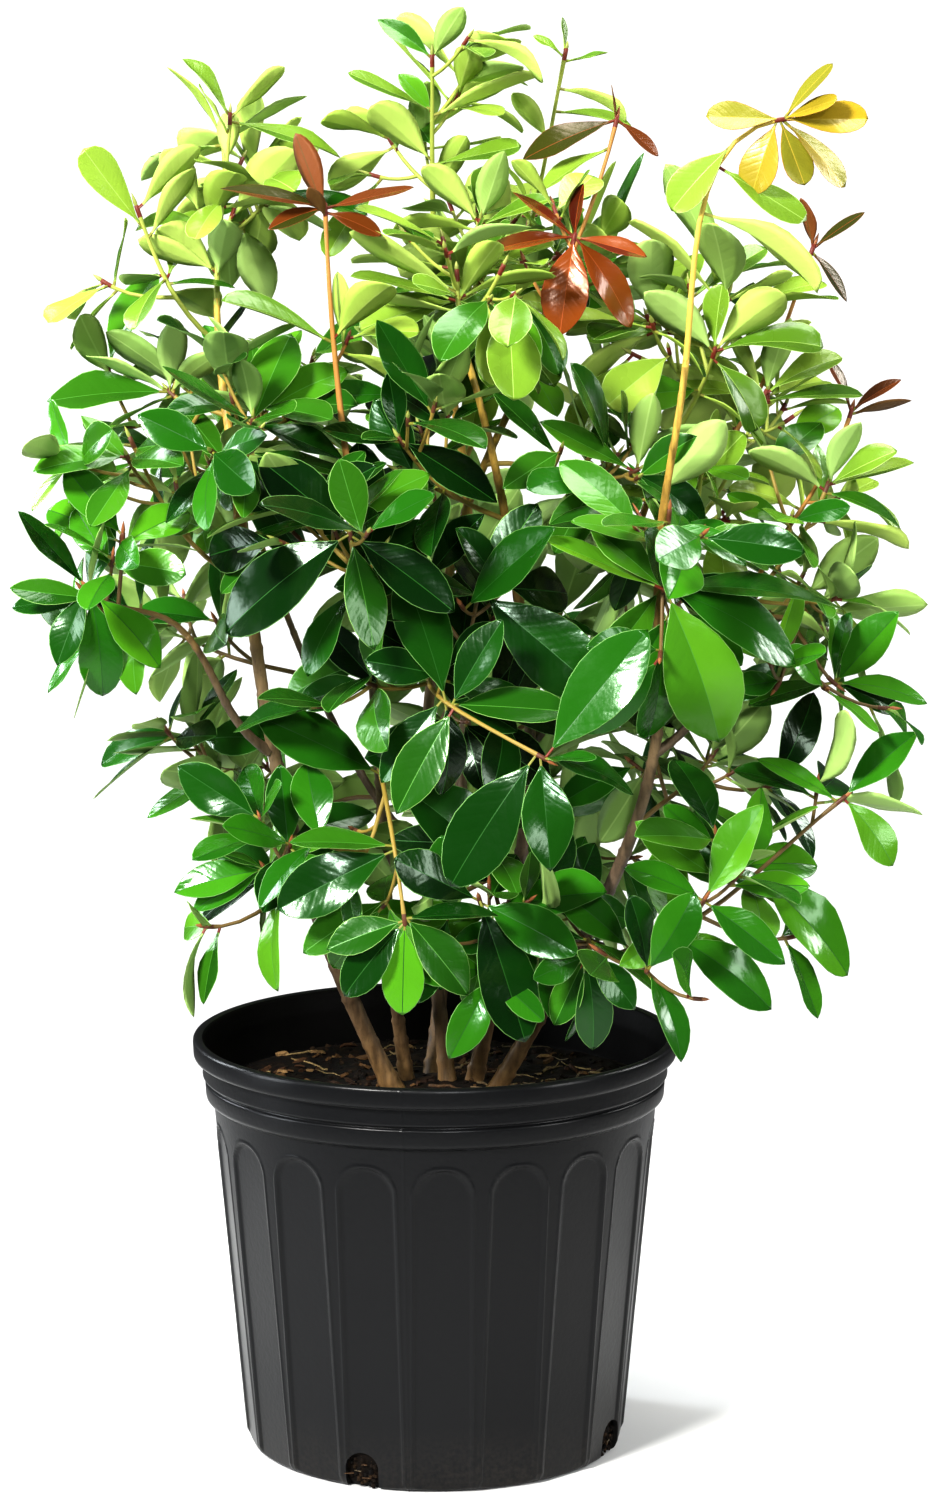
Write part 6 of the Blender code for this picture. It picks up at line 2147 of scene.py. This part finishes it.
# Bits that lie loose, by the piece that they are joined into: the roughness and the colours
LOOSE_COLOURS = {
    "soil_crumbs": (0.92, {
        "crumb_black": (0.003, 0.002, 0.0015),
        "crumb_brown": (0.008, 0.0045, 0.0025),
        "crumb_umber": (0.020, 0.011, 0.005),
    }),
    "bark_chips": (0.82, {
        "chip_dark": (0.017, 0.008, 0.004),
        "chip_red": (0.038, 0.017, 0.007),
        "chip_tan": (0.085, 0.044, 0.017),
        "chip_pale": (0.190, 0.115, 0.050),
    }),
    "straw_and_roots": (0.70, {
        "straw": (0.230, 0.165, 0.075),
        "straw_grey": (0.130, 0.100, 0.062),
        "root_pale": (0.180, 0.125, 0.068),
        "root_brown": (0.070, 0.038, 0.018),
    }),
}
SMOOTH_BITS = ("straw_and_roots",)
LOOSE_SPECULAR = 0.15
LOOSE_GRAIN = (700.0, 4.0)
LOOSE_BUMP = (0.8, 0.0006)
SOIL_SPECULAR = 0.12
SOIL_GLOSS = (0.70, 1.0)
CLODS = (120.0, 6.0)
CLOD_BUMP = (0.9, 0.002)
FLECK_SCALE = 380.0
PALE_FACTOR = 0.45
SOIL_COLOUR = (0.005, 0.003, 0.002)
CLOD_SHADES = [(0.28, (0.002, 0.0015, 0.001)), (0.50, SOIL_COLOUR), (0.72, (0.017, 0.009, 0.004))]
PALE_FLECKS = [(0.0, (0.12, 0.07, 0.03)), (0.12, (0, 0, 0))]


def loose_material(name, colour, roughness):
    """Dull, uneven matter whose tone and relief vary within each bit."""
    material, tree, shader = new_material(name, colour, roughness, LOOSE_SPECULAR)
    grain = object_noise(tree, *LOOSE_GRAIN)
    dark = tuple(0.55 * part for part in colour)
    light = tuple(min(1.0, 1.45 * part) for part in colour)
    shade = colour_steps(tree, grain, [(0.30, dark), (0.70, light)])
    gloss = ranged(tree, grain, roughness - 0.12, roughness + 0.08)
    feed(tree, shader, {"Base Color": shade, "Roughness": gloss})
    bumped(tree, shader, grain, *LOOSE_BUMP)
    return material


def soil_material():
    """Damp potting mix: near-black peat with brown fibres and paler flecks."""
    material, tree, shader = new_material("soil_mix", SOIL_COLOUR, 0.90, SOIL_SPECULAR)
    clods = object_noise(tree, *CLODS)
    flecks = new_node(tree, "TexVoronoi", {"Vector": object_place(tree), "Scale": FLECK_SCALE})
    pale = colour_steps(tree, flecks.outputs["Distance"], PALE_FLECKS)
    colour = mixed(tree, "ADD", PALE_FACTOR, colour_steps(tree, clods, CLOD_SHADES), pale)
    feed(tree, shader, {"Base Color": colour, "Roughness": ranged(tree, clods, *SOIL_GLOSS)})
    bumped(tree, shader, clods, *CLOD_BUMP)
    return material


def loose_spot(rng, reach):
    """A random place on the soil, clear of the stems' feet."""
    while True:
        radius = reach * math.sqrt(rng.random())
        angle = rng.uniform(0, math.tau)
        x, y = radius * math.cos(angle), radius * math.sin(angle)
        if min(math.hypot(x - foot[0], y - foot[1]) for foot in STEM_FEET.values()) > FOOT_ROOM:
            return x, y


def litter_soil(rng, crumbs, chips, strands):
    """Crumbs, bark chips, straw and roots strewn over the soil."""
    for index in range(CRUMB_COUNT):
        x, y = loose_spot(rng, SOIL_RADIUS - WALL_ROOM)
        size = rng.uniform(*CRUMB_SIZES)
        add_chunk(crumbs, rng, (x, y, soil_height(x, y)), (size, size * 0.85, size * 0.7),
                  rng.choice((0, 0, 1, 1, 2)))
    for index in range(CHIP_COUNT):
        x, y = loose_spot(rng, SOIL_RADIUS - CHIP_WALL_ROOM)
        long = rng.uniform(*CHIP_LENGTHS)
        add_chunk(chips, rng, (x, y, soil_height(x, y) + RESTING),
                  (long, long * rng.uniform(*CHIP_BREADTHS), rng.uniform(*CHIP_DEPTHS)),
                  rng.choice((0, 0, 1, 1, 2, 2, 3)))
    for index in range(STRAW_COUNT):
        x, y = loose_spot(rng, SOIL_RADIUS - STRAW_WALL_ROOM)
        add_strand(strands, rng, (x, y, soil_height(x, y) + RESTING), rng.uniform(0, math.tau),
                   rng.uniform(*STRAW_LENGTHS), rng.uniform(*STRAW_RADII), rng.choice((0, 0, 1)),
                   STRAW_WAVES)
    for index in range(ROOT_COUNT):
        x, y = loose_spot(rng, ROOT_REACH)
        add_strand(strands, rng, (x, y, soil_height(x, y)), math.atan2(y, x) + rng.uniform(-0.9, 0.9),
                   rng.uniform(*ROOT_LENGTHS), rng.uniform(*ROOT_RADII), rng.choice((2, 2, 3)),
                   ROOT_WAVES)


def litter_hole(rng, crumbs, strands, turn):
    """The filling that shows in one drain hole."""
    outward = Vector((math.cos(turn), math.sin(turn), 0))
    side = Vector((-math.sin(turn), math.cos(turn), 0))
    for index in range(HOLE_CRUMBS):
        height = rng.uniform(0.002, DRAIN_TOP - 0.0045)
        across = rng.uniform(-0.40, 0.40) * DRAIN_WIDTH
        spot = outward * (wall_radius(height) - WALL_THICKNESS - HOLE_BACK) + side * across + UP * height
        size = rng.uniform(*HOLE_CRUMB_SIZES)
        add_chunk(crumbs, rng, spot, (size, size, size * 0.8), rng.choice((0, 1, 1, 2)))
    for index in range(HOLE_STRAWS):
        height = rng.uniform(0.003, DRAIN_TOP - 0.007)
        spot = outward * (wall_radius(height) - WALL_THICKNESS + HOLE_BACK) + UP * height
        spot += side * rng.uniform(-0.30, 0.30) * DRAIN_WIDTH
        add_strand(strands, rng, spot, turn + rng.choice((-1, 1)) * rng.uniform(1.2, 1.6),
                   rng.uniform(*HOLE_STRAW_LENGTHS), HOLE_STRAW_RADIUS, rng.choice((1, 3, 3)),
                   HOLE_STRAW_WAVES, level=False)


def build_loose_matter():
    """Crumbs, bark chips, straw and roots on the soil and at the drain holes, as three pieces."""
    rng = random.Random(LOOSE_SEED)
    crumbs, chips, strands = MeshSheaf(), MeshSheaf(), MeshSheaf()
    litter_soil(rng, crumbs, chips, strands)
    for hole in range(DRAIN_COUNT):
        litter_hole(rng, crumbs, strands, DRAIN_TURN + math.tau * hole / DRAIN_COUNT)
    for sheaf, (name, (roughness, colours)) in zip((crumbs, chips, strands), LOOSE_COLOURS.items()):
        materials = [loose_material(part, colour, roughness) for part, colour in colours.items()]
        piece = sheaf.object(name, materials, smooth=name in SMOOTH_BITS)
        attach(piece, "root")


def build_soil():
    material = soil_material()
    solid = frame["nodes"]["soil"]
    solid.data.materials.clear()
    solid.data.materials.append(material)
    build_soil_surface(material)
    build_loose_matter()


# Stage, lights and camera

# A round pale floor, whole to FLOOR_WHOLE and faded out at its edge into a white surround
FLOOR_GREY = (0.70, 0.70, 0.70)
FLOOR_MOTTLE = (3.0, 2.0)
FLOOR_GLOSS = (0.64, 0.76)
FLOOR_WHOLE = 0.42
FLOOR_EDGE = 1.10
FLOOR_SIDES = 96
SURROUND_RADIUS = 14.0


def stage_object(name, shape, material):
    thing = shape_object(name, shape)
    thing.data.materials.append(material)
    return thing


def floor_material():
    """Pale and dull, with its edge fading away."""
    material, tree, shader = new_material("floor_pale", FLOOR_GREY, 0.70, 0.1)
    feed(tree, shader, {"Roughness": ranged(tree, object_noise(tree, *FLOOR_MOTTLE), *FLOOR_GLOSS)})
    away = tree.nodes.new("ShaderNodeVectorMath")
    away.operation = "LENGTH"
    feed(tree, away, {0: object_place(tree)})
    fade = ranged(tree, away.outputs["Value"], 0.0, 1.0, FLOOR_WHOLE, FLOOR_EDGE, smooth=True)
    gone = new_node(tree, "BsdfTransparent", {})
    mix = new_node(tree, "MixShader", {0: fade, 1: shader.outputs["BSDF"], 2: gone.outputs["BSDF"]})
    feed(tree, tree.nodes["Material Output"], {"Surface": mix.outputs["Shader"]})
    return material


def surround_material():
    """Even white, as of a studio's paper far behind."""
    material = bpy.data.materials.new("surround_white")
    material.use_nodes = True
    tree = material.node_tree
    tree.nodes.remove(tree.nodes["Principled BSDF"])
    glow = new_node(tree, "Emission", {})
    feed(tree, tree.nodes["Material Output"], {"Surface": glow.outputs["Emission"]})
    return material


def build_stage():
    """A round floor in a far white surround that is seen but neither lights nor reflects."""
    shape = bmesh.new()
    bmesh.ops.create_circle(shape, cap_ends=True, radius=FLOOR_EDGE, segments=FLOOR_SIDES)
    stage_object("floor_round", shape, floor_material())
    shape = bmesh.new()
    bmesh.ops.create_icosphere(shape, subdivisions=4, radius=SURROUND_RADIUS)
    surround = stage_object("surround", shape, surround_material())
    surround.visible_diffuse = False
    surround.visible_glossy = False
    surround.visible_transmission = False
    surround.visible_volume_scatter = False
    surround.visible_shadow = False


def lit(name, data, place, target, power, colour):
    """Places a light and turns it to its target."""
    data.energy = power
    data.color = colour
    light = placed(name, data)
    light.location = place
    light.rotation_euler = (Vector(target) - Vector(place)).to_track_quat("-Z", "Y").to_euler()


def area_light(name, place, target, size, power, colour=(1, 1, 1)):
    data = bpy.data.lights.new(name, "AREA")
    data.shape = "RECTANGLE"
    data.size, data.size_y = size
    lit(name, data, place, target, power, colour)


def spot_light(name, place, target, radius, cone, power, colour):
    """A round softbox whose light is kept to the plant and the floor close round it."""
    data = bpy.data.lights.new(name, "SPOT")
    data.shadow_soft_size = radius
    data.spot_size = math.radians(cone)
    data.spot_blend = 0.7
    lit(name, data, place, target, power, colour)


def build_lights():
    """A soft studio: a dim even room, a large key from high on the left and softer fills."""
    world = bpy.data.worlds.new("studio")
    world.use_nodes = True
    background = world.node_tree.nodes["Background"]
    feed(world.node_tree, background, {"Color": (1.0, 1.0, 1.0, 1), "Strength": 0.07})
    bpy.context.scene.world = world
    spot_light("key", (-1.3, -1.9, 1.9), (0, 0, 0.42), 0.28, 36, 560, (1.0, 0.985, 0.95))
    spot_light("glint", (0.35, -2.5, 1.25), (0.02, 0, 0.36), 0.13, 22, 115, (0.97, 1.0, 1.0))
    area_light("top", (0.2, 0.3, 2.3), (0, 0, 0.50), (1.2, 0.9), 44, (1.0, 0.99, 0.96))
    area_light("fill_right", (2.0, -1.1, 0.9), (0, 0, 0.40), (0.4, 1.2), 22)
    area_light("rim_left", (-1.7, 1.0, 1.2), (0, 0, 0.30), (0.3, 1.5), 34, (0.90, 0.95, 1.0))
    area_light("rim_right", (1.8, 0.8, 1.4), (0, 0, 0.40), (0.3, 1.1), 22)
    area_light("strip_left", (-1.9, -0.3, 0.6), (0, 0, 0.20), (0.4, 1.2), 25, (0.90, 0.95, 1.0))


def build_camera():
    data = bpy.data.cameras.new("camera")
    data.sensor_fit = "VERTICAL"
    data.sensor_height = SENSOR_HEIGHT
    data.lens = CAMERA_LENS
    data.clip_start = 0.05
    data.clip_end = 30
    camera = placed("camera", data)
    camera.location = CAMERA_PLACE
    camera.rotation_euler = (math.pi / 2 - CAMERA_PITCH, 0, 0)
    bpy.context.scene.camera = camera


# The whole

FINE_SEED = 1000


def mesh_tree(mesh):
    """The mesh as a tree that finds its nearest place."""
    points = [vertex.co for vertex in mesh.vertices]
    return BVHTree.FromPolygons(points, [polygon.vertices for polygon in mesh.polygons])


def limb_runs():
    """The runs of all stems and boughs, each with the bark of its solid."""
    runs = {}
    for limb in [*STEMS, *BOUGHS]:
        if limb.parent is None:
            run = stem_run(limb)
        else:
            run = run_from(runs[limb.parent], limb.along, limb.tip, limb.radii, limb.leave,
                           limb.aim, square_shares(BOUGH_STEPS))
        run.bark = mesh_tree(frame["nodes"][limb.name].data)
        runs[limb.name] = run
    return runs


def limb_surroundings(runs):
    """Shapes to stay clear of that start with the stems and boughs."""
    surroundings = Surroundings()
    for name, run in runs.items():
        surroundings.add(*guard_tube(run), name)
    return surroundings


def mass_growths(runs):
    """The twigs and leaves that the solids have."""
    surroundings = limb_surroundings(runs)
    views = Surroundings()
    growths = []
    for seed, mass in enumerate(MASSES):
        limb = runs[mass.limb]
        start_radius = limb.radius(1) if mass.along >= 1 else MASS_STEM_RADIUS
        run = run_from(limb, mass.along, mass.tip, (start_radius, TWIG_TIP_RADIUS), mass.leave,
                       mass.aim, square_shares(MASS_STEM_STEPS))
        surroundings.add(*guard_tube(run), mass.name)
        growths.append(Growth(mass, run, seed, surroundings, views))
    for growth in growths:
        growth.shown_leaves()
    for growth in growths:
        growth.seeded_leaves()
    return growths


def crown_reach():
    """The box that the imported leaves, widened by very little, fill."""
    boxes = [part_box(mass.name) for mass in MASSES]
    low = [min(box[0][i] for box in boxes) - REACH_SLACK for i in range(3)]
    high = [max(box[1][i] for box in boxes) + REACH_SLACK for i in range(3)]
    return low, high


def finer_growths(runs, growths):
    """The same masses carried on to finer twigs."""
    reach = crown_reach()
    surroundings = limb_surroundings(runs)
    for growth in growths:
        surroundings.add(*guard_tube(growth.run), growth.mass.name)
    fine_growths = [FineGrowth(growth, FINE_SEED + number, surroundings, reach)
                    for number, growth in enumerate(growths)]
    for fine in fine_growths:
        fine.carry_twigs_over()
    for fine in fine_growths:
        fine.carry_leaves_over()
    for fine in fine_growths:
        fine.grow()
    return fine_growths


def main():
    shown = bpy.context.scene.view_settings
    shown.view_transform = "Standard"
    shown.exposure = SHOWN_EXPOSURE
    shown.gamma = SHOWN_GAMMA
    build_camera()
    build_stage()
    build_lights()
    runs = limb_runs()
    growths = mass_growths(runs)
    fine_growths = finer_growths(runs, growths)
    build_pot()
    build_soil()
    build_wood(runs)
    build_twigs(fine_growths)
    build_leaves(fine_growths)
    build_buds(fine_growths)
    print("leaves of the solids", sum(len(growth.leaves) for growth in growths))
    print("leaves shown", sum(len(growth.leaves) for growth in fine_growths))


main()
